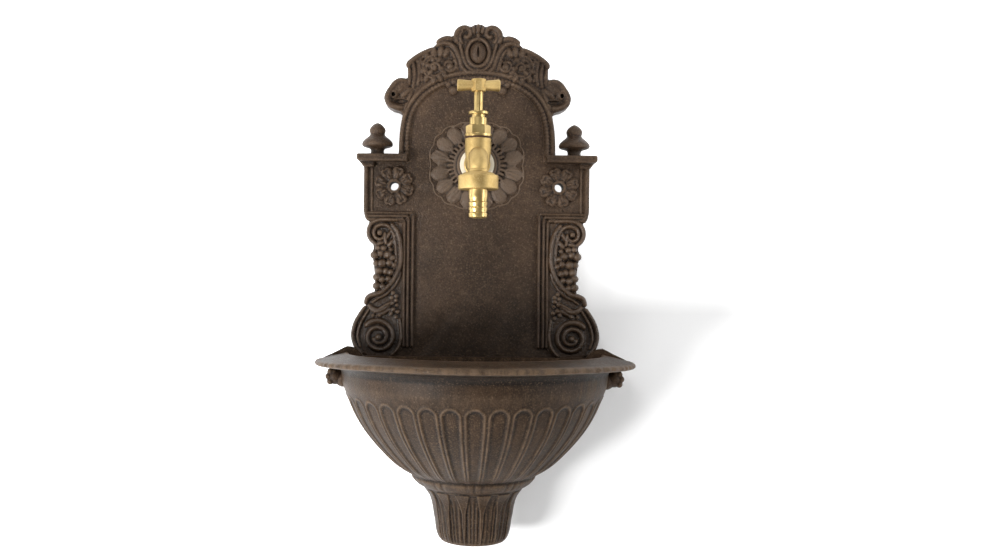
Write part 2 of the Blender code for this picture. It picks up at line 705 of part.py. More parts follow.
def outside_radius(height):
    """Radius of the bowl's outer face at a height below the lip."""
    line = BOWL + [(COLLAR_RADIUS + 2.5, COLLAR_TOP)]
    for (r0, z0), (r1, z1) in zip(line, line[1:]):
        if z1 <= height <= z0:
            return r0 + (r1 - r0) * (z0 - height) / (z0 - z1)
    return line[-1][0]


def flute(turn):
    """Cutter for one arched flute, which narrows towards the collar."""
    rows = 5
    path = []
    radii = []
    for row in range(rows + 1):
        height = FLUTE_TOP + (FLUTE_BOTTOM - FLUTE_TOP) * row / rows
        reach = outside_radius(height)
        share = reach / outside_radius(FLUTE_TOP)
        width = FLUTE_HALF_WIDTH * share * (0.45 if row == 0 else 1)
        path.append(Vector((math.sin(turn) * (reach + width * 0.25), -math.cos(turn) * (reach + width * 0.25)
                            - basin_back_out(), height)))
        radii.append(width)
    across = Vector((math.cos(turn), -math.sin(turn) * -1, 0))
    rings = []
    for i, point in enumerate(path):
        ahead = (path[min(i + 1, rows)] - path[max(i - 1, 0)]).normalized()
        normal = across.cross(ahead).normalized()
        depth = FLUTE_DEPTH + radii[i] * 0.25
        rings.append([point + across * radii[i] * math.cos(a) + normal * depth * math.sin(a)
                      for a in (math.tau * k / 6 for k in range(6))])
    return loft(rings)


def make_basin(iron):
    basin = add("basin", half_round(bowl_outside(), basin_back_out()), iron)
    for i in range(FLUTES):
        turn = -90 + FLUTE_TURN + (i + 0.5) * 180 / FLUTES - 90 / FLUTES
        if abs(turn) < 84:
            cut(basin, flute(math.radians(turn)))
    for side in (-1, 1):
        join(basin, ball((side * EAR_X, basin_back_out() + EAR_RADIUS + 1, EAR_Z), EAR_RADIUS, 12, (1, 1, 1)))
    cut(basin, hollow_round(bowl_inside()))
    cut(basin, hollow_round(foot_inside()))
    inner = RIM_RADIUS - 2
    cut(basin, block(-inner, inner, BASIN_BACK_TOP, RIM_Z + 5, 0, basin_back_out() + BASIN_WALL + 0.5))
    for x, z in BOLT_PLACES:
        cut(basin, lay_out(rod(BOLT_DIAMETER / 2 + GAP, 0, 40, 12), x, 0, z))
    cut(basin, moved(rod(WASTE_TUBE / 2 + GAP, -20, 20), 0, WASTE_OUT, BOWL_FLOOR))
    finish_casting(basin)
    return basin


# Fixings

def make_bolts(steel, rubber):
    wall_face = basin_back_out() + BASIN_WALL
    plate_back = FIELD_OUT - SHELL_WALL
    shank = BOLT_DIAMETER / 2
    for number, (x, z) in enumerate(BOLT_PLACES, 1):
        seal = wall_face + GAP
        add(f"basin_seal_{number}", lay_out(tube(BOLT_WASHER / 2, shank + GAP, seal, seal + BOLT_SEAL_THICKNESS),
                                            x, 0, z), rubber)
        head = seal + BOLT_SEAL_THICKNESS + GAP
        washer = plate_back - GAP
        nut = washer - BOLT_WASHER_THICKNESS - GAP
        bolt = faceted(BOLT_HEAD_ACROSS, head, head + BOLT_HEAD_HEIGHT)
        bolt = lay_out(bolt, x, 0, z)
        bolt = add(f"basin_bolt_{number}", bolt, steel)
        join(bolt, lay_out(rod(shank, nut - BOLT_NUT_HEIGHT - 2, head + 1, 12), x, 0, z))
        finish_casting(bolt)
        add(f"basin_washer_{number}",
            lay_out(tube(BOLT_WASHER / 2, shank + GAP, washer - BOLT_WASHER_THICKNESS, washer), x, 0, z), steel)
        nut_body = add(f"basin_nut_{number}",
                       lay_out(faceted(BOLT_HEAD_ACROSS, nut - BOLT_NUT_HEIGHT, nut), x, 0, z), steel)
        cut(nut_body, lay_out(rod(shank + GAP, nut - BOLT_NUT_HEIGHT - 5, nut + 5, 12), x, 0, z))
        finish_casting(nut_body)


def make_waste(brass, rubber):
    """Flanged waste through the basin's floor, its nut underneath, and the plug that closes it."""
    flange = BOWL_FLOOR + GAP
    top = flange + WASTE_FLANGE_THICKNESS
    profile = [(WASTE_BORE / 2, flange - WASTE_LENGTH), (WASTE_TUBE / 2, flange - WASTE_LENGTH),
               (WASTE_TUBE / 2, flange), (WASTE_FLANGE / 2, flange), (WASTE_FLANGE / 2, top - 1),
               (WASTE_FLANGE / 2 - 1.5, top), (PLUG_TOP / 2 + GAP, top), (WASTE_BORE / 2, top - PLUG_DEPTH)]
    add("drain_waste", moved(turned(profile, hollow=True, sides=16), 0, WASTE_OUT, 0), brass)
    under = BOWL_FLOOR - BOWL_FLOOR_WALL - GAP
    nut = add("drain_nut", moved(faceted(WASTE_NUT_ACROSS, under - WASTE_NUT_HEIGHT, under), 0, WASTE_OUT, 0), brass)
    cut(nut, moved(rod(WASTE_TUBE / 2 + GAP, under - 20, under + 5), 0, WASTE_OUT, 0))
    finish_casting(nut)
    slope = (PLUG_TOP - WASTE_BORE) / 2 / PLUG_DEPTH
    depth = PLUG_DEPTH - 2
    plug = [(0, top - depth), (PLUG_TOP / 2 - slope * depth - GAP / 2, top - depth),
            (PLUG_TOP / 2 - GAP / 2, top), (PLUG_TOP / 2, top + 2.5), (PLUG_TOP / 2 - 1.5, top + 3.5),
            (4.0, top + 3.5), (3.0, top + 7), (4.6, top + 10), (3.4, top + 12.5), (0, top + 13.2)]
    add("drain_plug", moved(turned(plug, sides=16), 0, WASTE_OUT, 0), rubber, (0, WASTE_OUT, top))


# Tap body

def washer_out():
    return SHELL_OUT + GAP


def shoulder_out():
    return washer_out() + WALL_WASHER_THICKNESS + GAP


def spout_path():
    """Centre line of the spout, out along its crown and down to the outlet."""
    bend = SPOUT_OUT - 88.0
    points = [(0, SPINDLE_OUT + 7.3, SPOUT_TOP), (0, 88.0, SPOUT_TOP)]
    for step in range(1, 7):
        angle = math.radians(90 * step / 6)
        points.append((0, 88.0 + bend * math.sin(angle), SPOUT_TOP - bend * (1 - math.cos(angle))))
    points.append((0, SPOUT_OUT, OUTLET_TOP - 4))
    return points


def make_tap_body(brass):
    shoulder = shoulder_out()
    inlet = [(0, TAIL_END_OUT), (TAIL_THREAD / 2 - 0.8, TAIL_END_OUT), (TAIL_THREAD / 2, TAIL_END_OUT + 0.8),
             (TAIL_THREAD / 2, shoulder), (SHOULDER / 2, shoulder), (SHOULDER / 2, shoulder + SHOULDER_THICKNESS),
             (BARREL / 2 - 1.6, shoulder + SHOULDER_THICKNESS + 1.6), (BARREL / 2 - 1.6, SPINDLE_OUT - 18),
             (BARREL / 2, SPINDLE_OUT - 10), (BARREL / 2, SPINDLE_OUT), (0, SPINDLE_OUT)]
    body = add("tap_body", lay_out(turned(inlet), 0, 0, TAP_Z), brass)
    pot = [(0, BODY_BOTTOM), (6, BODY_BOTTOM + 0.8), (10, BODY_BOTTOM + 3.2), (BODY / 2, BODY_BOTTOM + 9),
           (BODY / 2, BODY_TOP - 1), (BODY / 2 - 1, BODY_TOP), (0, BODY_TOP)]
    join(body, moved(turned(pot), 0, SPINDLE_OUT, 0))
    path = spout_path()
    join(body, sweep(path, [SPOUT / 2] * len(path), 16))
    outlet = [(0, OUTLET_END), (OUTLET_THREAD / 2 - 0.8, OUTLET_END), (OUTLET_THREAD / 2, OUTLET_END + 0.8),
              (OUTLET_THREAD / 2, OUTLET_TOP - 2.5), (SPOUT / 2 + 2, OUTLET_TOP), (0, OUTLET_TOP)]
    join(body, moved(turned(outlet), 0, SPOUT_OUT, 0))
    cut(body, moved(rod(CHAMBER / 2, CHAMBER_FLOOR, BODY_TOP + 5), 0, SPINDLE_OUT, 0))
    join(body, moved(tube(SEAT_OUTER / 2, SEAT_PORT / 2 + 0.2, CHAMBER_FLOOR - 1, SEAT_TOP), 0, SPINDLE_OUT, 0))
    way = [(0, TAIL_END_OUT - 2, TAP_Z), (0, 46, TAP_Z), (0, 56, TAP_Z - 5.5), (0, SPINDLE_OUT, TAP_Z - 6.5),
           (0, SPINDLE_OUT + 3, TAP_Z - 6.5)]
    cut(body, sweep(way, [TAIL_BORE / 2, TAIL_BORE / 2, 4.2, 3.9, 3.6], 12))
    cut(body, moved(rod(SEAT_PORT / 2, TAP_Z - 6.5, SEAT_TOP + 2, 24), 0, SPINDLE_OUT, 0))
    drop = path[:-1] + [(0, SPOUT_OUT, OUTLET_END - 3)]
    cut(body, sweep(drop, [SPOUT_BORE / 2] * len(drop), 10))
    finish_casting(body)


def make_tap_fixings(brass, steel, nylon):
    out = washer_out()
    add("wall_washer", lay_out(tube(WALL_WASHER / 2, TAIL_THREAD / 2 + GAP, out, out + WALL_WASHER_THICKNESS),
                               0, 0, TAP_Z), nylon)
    face = tap_seat_out() - GAP
    add("back_washer", lay_out(tube(BACK_WASHER / 2, TAIL_THREAD / 2 + GAP, face - BACK_WASHER_THICKNESS, face),
                               0, 0, TAP_Z), steel)
    nut_face = face - BACK_WASHER_THICKNESS - GAP
    nut = add("tap_backnut", lay_out(faceted(BACKNUT_ACROSS, nut_face - BACKNUT_HEIGHT, nut_face), 0, 0, TAP_Z), brass)
    cut(nut, lay_out(rod(TAIL_THREAD / 2 + GAP, 0, 40), 0, 0, TAP_Z))
    finish_casting(nut)


# Headwork

def bonnet_seat():
    return BODY_TOP + GAP + GASKET_THICKNESS + GAP


def make_bonnet(brass, fibre):
    low = BODY_TOP + GAP
    add("bonnet_gasket", moved(tube(BODY / 2 - 0.5, CHAMBER / 2, low, low + GASKET_THICKNESS), 0, SPINDLE_OUT, 0),
        fibre)
    seat = bonnet_seat()
    hex_low = seat + BONNET_COLLAR_HEIGHT
    hex_high = hex_low + BONNET_HEX_HEIGHT
    top = hex_high + BONNET_NECK_HEIGHT
    thread = CHAMBER / 2 - GAP
    profile = [(0, seat - BONNET_THREAD_LENGTH), (thread - 0.6, seat - BONNET_THREAD_LENGTH),
               (thread, seat - BONNET_THREAD_LENGTH + 0.6), (thread, seat), (BONNET_COLLAR / 2, seat),
               (BONNET_COLLAR / 2, hex_low - 0.4), (BONNET_COLLAR / 2 - 0.5, hex_low), (BONNET_NECK / 2, hex_low),
               (BONNET_NECK / 2, top - 0.7), (BONNET_NECK / 2 - 0.7, top), (0, top)]
    bonnet = add("bonnet", moved(turned(profile), 0, SPINDLE_OUT, 0), brass)
    join(bonnet, moved(faceted(BONNET_HEX_ACROSS, hex_low - 0.5, hex_high, 6, 0.8), 0, SPINDLE_OUT, 0))
    bore = [(0, 20), (SPINDLE_THREAD / 2 + GAP, 20), (SPINDLE_THREAD / 2 + GAP, STUFFING_FLOOR - 3.2),
            (SPINDLE / 2 + GAP, STUFFING_FLOOR - 2.4), (SPINDLE / 2 + GAP, STUFFING_FLOOR),
            (STUFFING_BOX / 2, STUFFING_FLOOR), (STUFFING_BOX / 2, top + 5), (0, top + 5)]
    cut(bonnet, moved(turned(bore), 0, SPINDLE_OUT, 0))
    finish_casting(bonnet)
    return top


def make_gland(brass, packing, bonnet_top):
    low = STUFFING_FLOOR + GAP
    outer = STUFFING_BOX / 2 - GAP
    stem = SPINDLE / 2 + GAP
    add("gland_packing", moved(tube(outer, stem, low, low + PACKING_HEIGHT), 0, SPINDLE_OUT, 0), packing)
    neck_low = low + PACKING_HEIGHT + GAP
    flange = bonnet_top + GLAND_LIFT
    profile = [(stem, neck_low), (outer, neck_low), (outer, flange), (GLAND_FLANGE / 2 - 0.5, flange),
               (GLAND_FLANGE / 2, flange + 0.5), (GLAND_FLANGE / 2, flange + GLAND_FLANGE_HEIGHT - 0.5),
               (GLAND_FLANGE / 2 - 0.5, flange + GLAND_FLANGE_HEIGHT), (stem, flange + GLAND_FLANGE_HEIGHT)]
    add("gland_nut", moved(turned(profile, hollow=True), 0, SPINDLE_OUT, 0), brass)


def jumper_levels():
    washer = SEAT_TOP + GAP
    disc = washer + TAP_WASHER_THICKNESS + GAP
    return washer, disc, disc + JUMPER_DISC_HEIGHT


def make_jumper(brass, rubber):
    """Valve on the seat: a stemmed disc, the soft washer under it and the nut that holds the washer."""
    washer, disc, top = jumper_levels()
    nut_top = washer - GAP
    origin = (0, SPINDLE_OUT, SEAT_TOP)
    profile = [(0, nut_top - JUMPER_NUT_HEIGHT - 1), (JUMPER_STUD / 2, nut_top - JUMPER_NUT_HEIGHT - 1),
               (JUMPER_STUD / 2, disc), (JUMPER_DISC / 2 - 0.4, disc), (JUMPER_DISC / 2, disc + 0.4),
               (JUMPER_DISC / 2, top - 0.4), (JUMPER_DISC / 2 - 0.4, top), (JUMPER_STEM / 2, top),
               (JUMPER_STEM / 2, top + JUMPER_STEM_LENGTH - 0.5), (JUMPER_STEM / 2 - 0.5, top + JUMPER_STEM_LENGTH),
               (0, top + JUMPER_STEM_LENGTH)]
    add("jumper_valve", moved(turned(profile, sides=14), 0, SPINDLE_OUT, 0), brass, origin)
    add("tap_washer", moved(tube(TAP_WASHER / 2, JUMPER_STUD / 2 + GAP, washer, washer + TAP_WASHER_THICKNESS, 14),
                            0, SPINDLE_OUT, 0), rubber, origin)
    nut = add("jumper_nut", moved(faceted(JUMPER_NUT, nut_top - JUMPER_NUT_HEIGHT, nut_top, 6, 0.3),
                                  0, SPINDLE_OUT, 0), brass, origin)
    cut(nut, moved(rod(JUMPER_STUD / 2 + GAP, nut_top - 6, nut_top + 3, 16), 0, SPINDLE_OUT, 0))
    finish_casting(nut)


def make_spindle(brass, cast_brass, steel):
    """Screwed spindle with the hole that guides the jumper, the T handle and its cross pin."""
    origin = (0, SPINDLE_OUT, HANDLE_Z)
    low = jumper_levels()[2] + GAP
    head = HANDLE_Z + HANDLE_HUB_HEIGHT / 2 - 2.5
    profile = [(0, low), (SPINDLE_THREAD / 2 - 0.6, low), (SPINDLE_THREAD / 2, low + 0.6),
               (SPINDLE_THREAD / 2, SPINDLE_THREAD_TOP - 0.8), (SPINDLE / 2, SPINDLE_THREAD_TOP),
               (SPINDLE / 2, head - 0.6), (SPINDLE / 2 - 0.6, head), (0, head)]
    spindle = add("spindle", moved(turned(profile), 0, SPINDLE_OUT, 0), brass, origin)
    cut(spindle, moved(rod(JUMPER_STEM / 2 + GAP, low - 2, low + JUMPER_STEM_LENGTH + 0.6, 14), 0, SPINDLE_OUT, 0))
    cut(spindle, lay_out(rod(HANDLE_PIN / 2 + GAP, -20, 20, 10), 0, SPINDLE_OUT, HANDLE_Z))
    finish_casting(spindle)

    half = HANDLE_LENGTH / 2
    bar = [(0, -half), (HANDLE_END / 2 - 1.4, -half), (HANDLE_END / 2, -half + 1.4), (HANDLE_END / 2 - 0.2, -half + 4),
           (HANDLE_MIDDLE / 2, -half + 12), (HANDLE_MIDDLE / 2, half - 12), (HANDLE_END / 2 - 0.2, half - 4),
           (HANDLE_END / 2, half - 1.4), (HANDLE_END / 2 - 1.4, half), (0, half)]
    grip = turned(bar, sides=14)
    bmesh.ops.transform(grip, matrix=Matrix.Rotation(math.radians(90), 4, "Y"), verts=grip.verts)
    handle = add("t_handle", moved(grip, 0, SPINDLE_OUT, HANDLE_Z), cast_brass, origin)
    hub_low = HANDLE_Z - HANDLE_HUB_HEIGHT / 2
    join(handle, moved(faceted(HANDLE_HUB_ACROSS, hub_low, hub_low + HANDLE_HUB_HEIGHT, 8, 0.9), 0, SPINDLE_OUT, 0))
    cut(handle, moved(rod(SPINDLE / 2 + GAP, hub_low - 5, head + GAP), 0, SPINDLE_OUT, 0))
    cut(handle, lay_out(rod(HANDLE_PIN / 2 + GAP, -20, 20, 10), 0, SPINDLE_OUT, HANDLE_Z))
    finish_casting(handle)
    reach = HANDLE_HUB_ACROSS / 2 - 0.5
    add("handle_pin", lay_out(rod(HANDLE_PIN / 2, -reach, reach, 10), 0, SPINDLE_OUT, HANDLE_Z), steel, origin)


# Union

def make_union(brass, cast_brass, rubber):
    """Washer, flanged hose tail and the nut that draws the tail up to the spout."""
    origin = (0, SPOUT_OUT, OUTLET_END)
    washer = OUTLET_END - GAP
    low = washer - UNION_WASHER_THICKNESS
    add("union_washer", moved(tube(TAIL_FLANGE / 2 - 0.5, UNION_WASHER_BORE / 2, low, washer), 0, SPOUT_OUT, 0),
        rubber, origin)
    flange = low - GAP
    under = flange - TAIL_FLANGE_THICKNESS
    outer = HOSE_TAIL / 2
    profile = [(HOSE_TAIL_BORE / 2, flange), (TAIL_FLANGE / 2, flange), (TAIL_FLANGE / 2, under), (outer, under),
               (outer, HOSE_TAIL_END + 3 * BARB_PITCH + 5)]
    barbs = []
    first = HOSE_TAIL_END + 3 * BARB_PITCH + 1
    for k in range(3):
        top = first - k * BARB_PITCH
        barbs += [(outer - 0.9, top + 1.2), (outer + 0.5, top), (outer + 0.4, top - 1.4)]
    profile += barbs
    profile += [(outer - 1.0, HOSE_TAIL_END + 1), (outer - 1.4, HOSE_TAIL_END), (HOSE_TAIL_BORE / 2, HOSE_TAIL_END)]
    add("hose_tail", moved(turned(profile, hollow=True), 0, SPOUT_OUT, 0), brass, origin)
    lip_top = under - GAP
    nut_low = lip_top - UNION_LIP
    bore = OUTLET_THREAD / 2 + GAP
    radius = UNION_NUT / 2
    nut = [(outer + GAP + 0.3, nut_low), (radius - 1.6, nut_low), (radius, nut_low + 1.6), (radius, UNION_TOP - 1.6),
           (radius - 1.6, UNION_TOP), (bore, UNION_TOP), (bore, lip_top), (outer + GAP + 0.3, lip_top)]
    add("union_nut", moved(turned(nut, hollow=True), 0, SPOUT_OUT, 0), cast_brass, origin)


def main():
    clear_scene()
    look = make_materials()
    make_plate(look["plate_iron"])
    make_basin(look["basin_iron"])
    make_bolts(look["steel"], look["rubber"])
    make_waste(look["brass"], look["rubber"])
    make_tap_body(look["brass"])
    make_tap_fixings(look["brass"], look["steel"], look["cream_nylon"])
    bonnet_top = make_bonnet(look["turned_brass"], look["fibre"])
    make_gland(look["turned_brass"], look["packing"], bonnet_top)
    make_jumper(look["turned_brass"], look["rubber"])
    make_spindle(look["turned_brass"], look["brass"], look["steel"])
    make_union(look["turned_brass"], look["brass"], look["rubber"])


main()
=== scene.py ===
import json
import math

import bmesh
import bpy
import numpy as np
from mathutils import Matrix, Vector


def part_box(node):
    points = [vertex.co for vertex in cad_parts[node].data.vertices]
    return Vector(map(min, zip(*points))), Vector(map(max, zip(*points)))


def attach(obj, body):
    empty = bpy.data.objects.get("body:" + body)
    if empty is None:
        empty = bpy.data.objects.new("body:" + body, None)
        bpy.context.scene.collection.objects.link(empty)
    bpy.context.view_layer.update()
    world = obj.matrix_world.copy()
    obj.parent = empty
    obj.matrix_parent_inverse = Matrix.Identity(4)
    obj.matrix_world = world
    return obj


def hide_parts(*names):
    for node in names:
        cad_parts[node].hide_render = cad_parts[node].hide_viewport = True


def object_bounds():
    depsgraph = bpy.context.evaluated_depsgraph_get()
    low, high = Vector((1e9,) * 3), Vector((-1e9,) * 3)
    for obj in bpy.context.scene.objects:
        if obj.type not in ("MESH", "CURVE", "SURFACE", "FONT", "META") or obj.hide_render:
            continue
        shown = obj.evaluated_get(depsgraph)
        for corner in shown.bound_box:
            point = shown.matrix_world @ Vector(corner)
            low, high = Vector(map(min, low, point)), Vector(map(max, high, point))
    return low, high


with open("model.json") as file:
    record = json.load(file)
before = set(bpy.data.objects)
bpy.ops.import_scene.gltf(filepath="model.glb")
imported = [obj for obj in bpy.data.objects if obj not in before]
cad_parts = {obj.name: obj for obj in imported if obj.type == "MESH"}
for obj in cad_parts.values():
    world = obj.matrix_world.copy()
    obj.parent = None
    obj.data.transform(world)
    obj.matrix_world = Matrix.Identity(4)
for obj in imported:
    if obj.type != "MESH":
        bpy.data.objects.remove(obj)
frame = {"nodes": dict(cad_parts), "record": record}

# Lengths are in millimetres until a piece is finished. X runs to the right, Z up, and "out" is the distance
# from the wall, which is the plane Y = 0. Ornament is drawn for the right half and mirrored.
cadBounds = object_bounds()
millimetre = 0.001
outward = Vector((0, -1, 0))
# body, slot and the CAD nodes that are replaced, for the two castings' pieces
onPlate = ("castings", "plate_iron", ["back_plate"])
onBasin = ("castings", "basin_iron", ["basin"])


def at(x, out, z):
    return Vector((x, -out, z))


def cadSpan(node):
    # lowest and highest x, out and z of a CAD node
    low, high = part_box(node)
    return (low.x * 1000, high.x * 1000), (-high.y * 1000, -low.y * 1000), (low.z * 1000, high.z * 1000)


# Bench: shapes

def smoothLine(points, spacing):
    # evenly stepped curve through points, and how far along the list each step lies
    points = [Vector(p) for p in points]
    line, places = [], []
    for i in range(len(points) - 1):
        before = points[max(i - 1, 0)]
        start, end = points[i], points[i + 1]
        after = points[min(i + 2, len(points) - 1)]
        count = max(1, round((end - start).length / spacing))
        for step in range(count):
            t = step / count
            square = 2 * before - 5 * start + 4 * end - after
            cube = 3 * start - before - 3 * end + after
            line.append(0.5 * (2 * start + (end - before) * t + square * t * t + cube * t ** 3))
            places.append(i + t)
    return line + [points[-1]], places + [len(points) - 1.0]


def bothHalves(half):
    # outline (x, z) from its right half
    return half + [(-x, z) for x, z in reversed(half) if abs(x) > 0.01]


def finer(points, spacing=2.5):
    # smooth curve through points (x, z)
    line, _ = smoothLine([(x, z, 0) for x, z in points], spacing)
    return [(p.x, p.y) for p in line]


def addSmall(bm, small):
    mesh = bpy.data.meshes.new("small")
    small.to_mesh(mesh)
    small.free()
    bm.from_mesh(mesh)
    bpy.data.meshes.remove(mesh)


def strand(bm, points, widths, rise=1.0, base=20.0, sides=10, spacing=1.3, beads=0.0, beadStep=3.4):
    # rounded ridge along points (x, z) or (x, out, z); its ends are round
    points = [at(p[0], base, p[1]) if len(p) == 2 else at(*p) for p in points]
    line, places = smoothLine(points, spacing)
    widths = widths if isinstance(widths, (list, tuple)) else [widths] * len(points)
    travelled = [0.0]
    for a, b in zip(line, line[1:]):
        travelled.append(travelled[-1] + (b - a).length)
    total = travelled[-1]
    small = bmesh.new()
    last = len(line) - 1
    before = None
    for i, point in enumerate(line):
        radius = float(np.interp(places[i], range(len(widths)), widths))
        toEnd = min(travelled[i], total - travelled[i])
        if toEnd < radius:
            radius *= math.sqrt(max(0.06, 1 - (1 - toEnd / radius) ** 2))
        radius *= 1 + beads * math.cos(math.tau * travelled[i] / beadStep)
        ahead = (line[min(i + 1, last)] - line[max(i - 1, 0)]).normalized()
        across = ahead.cross(outward).normalized()
        lift = across.cross(ahead).normalized()
        turn = Matrix((across, lift * rise, ahead)).transposed().to_4x4()
        ring = bmesh.ops.create_circle(small, cap_ends=i in (0, last), segments=sides, radius=radius,
                                       matrix=Matrix.Translation(point) @ turn)
        edges = list({edge for vert in ring["verts"] for edge in vert.link_edges})
        if before:
            bmesh.ops.bridge_loops(small, edges=before + edges)
        before = edges
    addSmall(bm, small)


def scroll(centre, radius, inner, start, turns, count=26):
    # points of a spiral that winds inwards; a positive turn is counter-clockwise
    points = []
    for i in range(count + 1):
        share = i / count
        angle = math.radians(start + 360 * turns * share)
        reach = radius * (1 - share) + inner * share
        points.append((centre[0] + reach * math.cos(angle), centre[1] + reach * math.sin(angle)))
    return points


def knob(bm, centre, radius, squash=(1, 1, 1), subdivisions=3):
    # ball or dome at (x, out, z)
    small = bmesh.new()
    bmesh.ops.create_icosphere(small, subdivisions=subdivisions, radius=radius)
    bmesh.ops.scale(small, vec=squash, verts=small.verts)
    bmesh.ops.translate(small, vec=at(*centre), verts=small.verts)
    addSmall(bm, small)


def petal(bm, place, length, width, height, angle, base):
    # leaf-shaped dome at (x, z); its length points along the angle, in degrees
    small = bmesh.new()
    bmesh.ops.create_icosphere(small, subdivisions=3, radius=1)
    bmesh.ops.scale(small, vec=(length, height, width), verts=small.verts)
    bmesh.ops.rotate(small, cent=(0, 0, 0), matrix=Matrix.Rotation(-math.radians(angle), 3, "Y"),
                     verts=small.verts)
    bmesh.ops.translate(small, vec=at(place[0], base, place[1]), verts=small.verts)
    addSmall(bm, small)


def thicken(corners, move):
    # closed solid from a flat outline and the way it is moved
    small = bmesh.new()
    face = small.faces.new([small.verts.new(corner) for corner in corners])
    grown = bmesh.ops.extrude_face_region(small, geom=[face])
    verts = [item for item in grown["geom"] if isinstance(item, bmesh.types.BMVert)]
    bmesh.ops.translate(small, vec=move, verts=verts)
    bmesh.ops.holes_fill(small, edges=[edge for edge in small.edges if edge.is_boundary])
    bmesh.ops.recalc_face_normals(small, faces=small.faces)
    return small


def slab(bm, outline, near, far, round=0.0):
    # plate with the outline (x, z), from near to far off the wall
    small = thicken([at(x, near, z) for x, z in outline], at(0, far - near, 0))
    if round:
        rim = [e for e in small.edges if all(abs(-v.co.y - far) < 0.01 for v in e.verts)]
        bmesh.ops.bevel(small, geom=rim, offset=round, affect="EDGES", segments=4, profile=0.5, material=-1,
                        clamp_overlap=True)
    addSmall(bm, small)


def turn(bm, profile, centre=(0, 0), steps=96):
    # full turn of (radius, z) about an upright axis at (x, out)
    small = bmesh.new()
    axis = at(centre[0], centre[1], 0)
    verts = [small.verts.new(axis + Vector((radius, 0, z))) for radius, z in profile]
    edges = [small.edges.new(pair) for pair in zip(verts, verts[1:])]
    bmesh.ops.spin(small, geom=verts + edges, cent=axis, axis=(0, 0, 1), angle=math.tau, steps=steps,
                   use_merge=True)
    bmesh.ops.remove_doubles(small, verts=small.verts, dist=0.0005)
    bmesh.ops.recalc_face_normals(small, faces=small.faces)
    addSmall(bm, small)


def mirrorHalf(bm):
    # the other half, across the middle of the fountain
    made = bmesh.ops.duplicate(bm, geom=bm.verts[:] + bm.edges[:] + bm.faces[:])["geom"]
    verts = [item for item in made if isinstance(item, bmesh.types.BMVert)]
    faces = [item for item in made if isinstance(item, bmesh.types.BMFace)]
    bmesh.ops.scale(bm, vec=(-1, 1, 1), verts=verts)
    bmesh.ops.reverse_faces(bm, faces=faces)


# Bench: pieces

def looseObject(bm, name):
    mesh = bpy.data.meshes.new(name)
    bm.to_mesh(mesh)
    bm.free()
    piece = bpy.data.objects.new(name, mesh)
    bpy.context.scene.collection.objects.link(piece)
    return piece


def settle(piece):
    # the modifiers' result becomes the mesh
    bpy.context.view_layer.update()
    seen = piece.evaluated_get(bpy.context.evaluated_depsgraph_get())
    mesh = bpy.data.meshes.new_from_object(seen)
    old = piece.data
    piece.modifiers.clear()
    piece.data = mesh
    bpy.data.meshes.remove(old)


def fuse(piece, voxel, softening):
    # one cast skin over all the overlapping shapes
    remesh = piece.modifiers.new("Fuse", "REMESH")
    remesh.mode = "VOXEL"
    remesh.voxel_size = voxel
    smooth = piece.modifiers.new("Soften", "SMOOTH")
    smooth.factor = 0.5
    smooth.iterations = softening
    settle(piece)


def carve(piece, bm, operation="DIFFERENCE"):
    tool = looseObject(bm, "tool")
    modifier = piece.modifiers.new("Carve", "BOOLEAN")
    modifier.solver = "EXACT"
    modifier.operation = operation
    modifier.object = tool
    settle(piece)
    bpy.data.objects.remove(tool)


def rod(bm, radius, x, z, near, far, segments=48):
    # cylinder that points out from the wall
    small = bmesh.new()
    matrix = Matrix.Translation(at(x, (near + far) / 2, z)) @ Matrix.Rotation(math.pi / 2, 4, "X")
    bmesh.ops.create_cone(small, cap_ends=True, segments=segments, radius1=radius, radius2=radius,
                          depth=far - near, matrix=matrix)
    addSmall(bm, small)


def roundEdges(piece, width, over=30):
    bevel = piece.modifiers.new("Round", "BEVEL")
    bevel.width = width
    bevel.segments = 3
    bevel.limit_method = "ANGLE"
    bevel.angle_limit = math.radians(over)
    settle(piece)


def trimBehind(piece, out):
    # what lies deeper than out is inside the plate, so it goes
    bm = bmesh.new()
    bm.from_mesh(piece.data)
    bmesh.ops.bisect_plane(bm, geom=bm.verts[:] + bm.edges[:] + bm.faces[:], plane_co=at(0, out, 0),
                           plane_no=outward, clear_inner=True)
    bmesh.ops.holes_fill(bm, edges=[edge for edge in bm.edges if edge.is_boundary])
    bm.to_mesh(piece.data)
    bm.free()


def markRelief(mesh):
    # height of each point over the smoothed surface: ridges above nought, hollows below
    count = len(mesh.vertices)
    places = np.empty(count * 3)
    mesh.vertices.foreach_get("co", places)
    places = places.reshape(-1, 3)
    normals = np.empty(count * 3)
    mesh.vertices.foreach_get("normal", normals)
    normals = normals.reshape(-1, 3)
    ends = np.empty(len(mesh.edges) * 2, int)
    mesh.edges.foreach_get("vertices", ends)
    a, b = ends.reshape(-1, 2).T
    links = np.maximum(np.bincount(a, minlength=count) + np.bincount(b, minlength=count), 1)[:, None]
    smoothed = places.copy()
    height = np.zeros(count)
    for step in range(1, reliefReading["rounds"] + 1):
        summed = np.stack([np.bincount(a, smoothed[b, k], count) + np.bincount(b, smoothed[a, k], count)
                           for k in range(3)], axis=1)
        smoothed = 0.3 * smoothed + 0.7 * summed / links
        if step in reliefReading["readAt"]:
            height += ((places - smoothed) * normals).sum(axis=1) / reliefReading["readAt"][step]
    values = np.clip(height / len(reliefReading["readAt"]), -1, 1)
    mark = mesh.attributes.new("relief", "FLOAT", "POINT")
    mark.data.foreach_set("value", values.astype(np.float32))


reliefReading = {
    "rounds": 36,
    "readAt": {6: 0.25, 36: 0.9},  # smoothing rounds, and the height in millimetres that counts as full
}


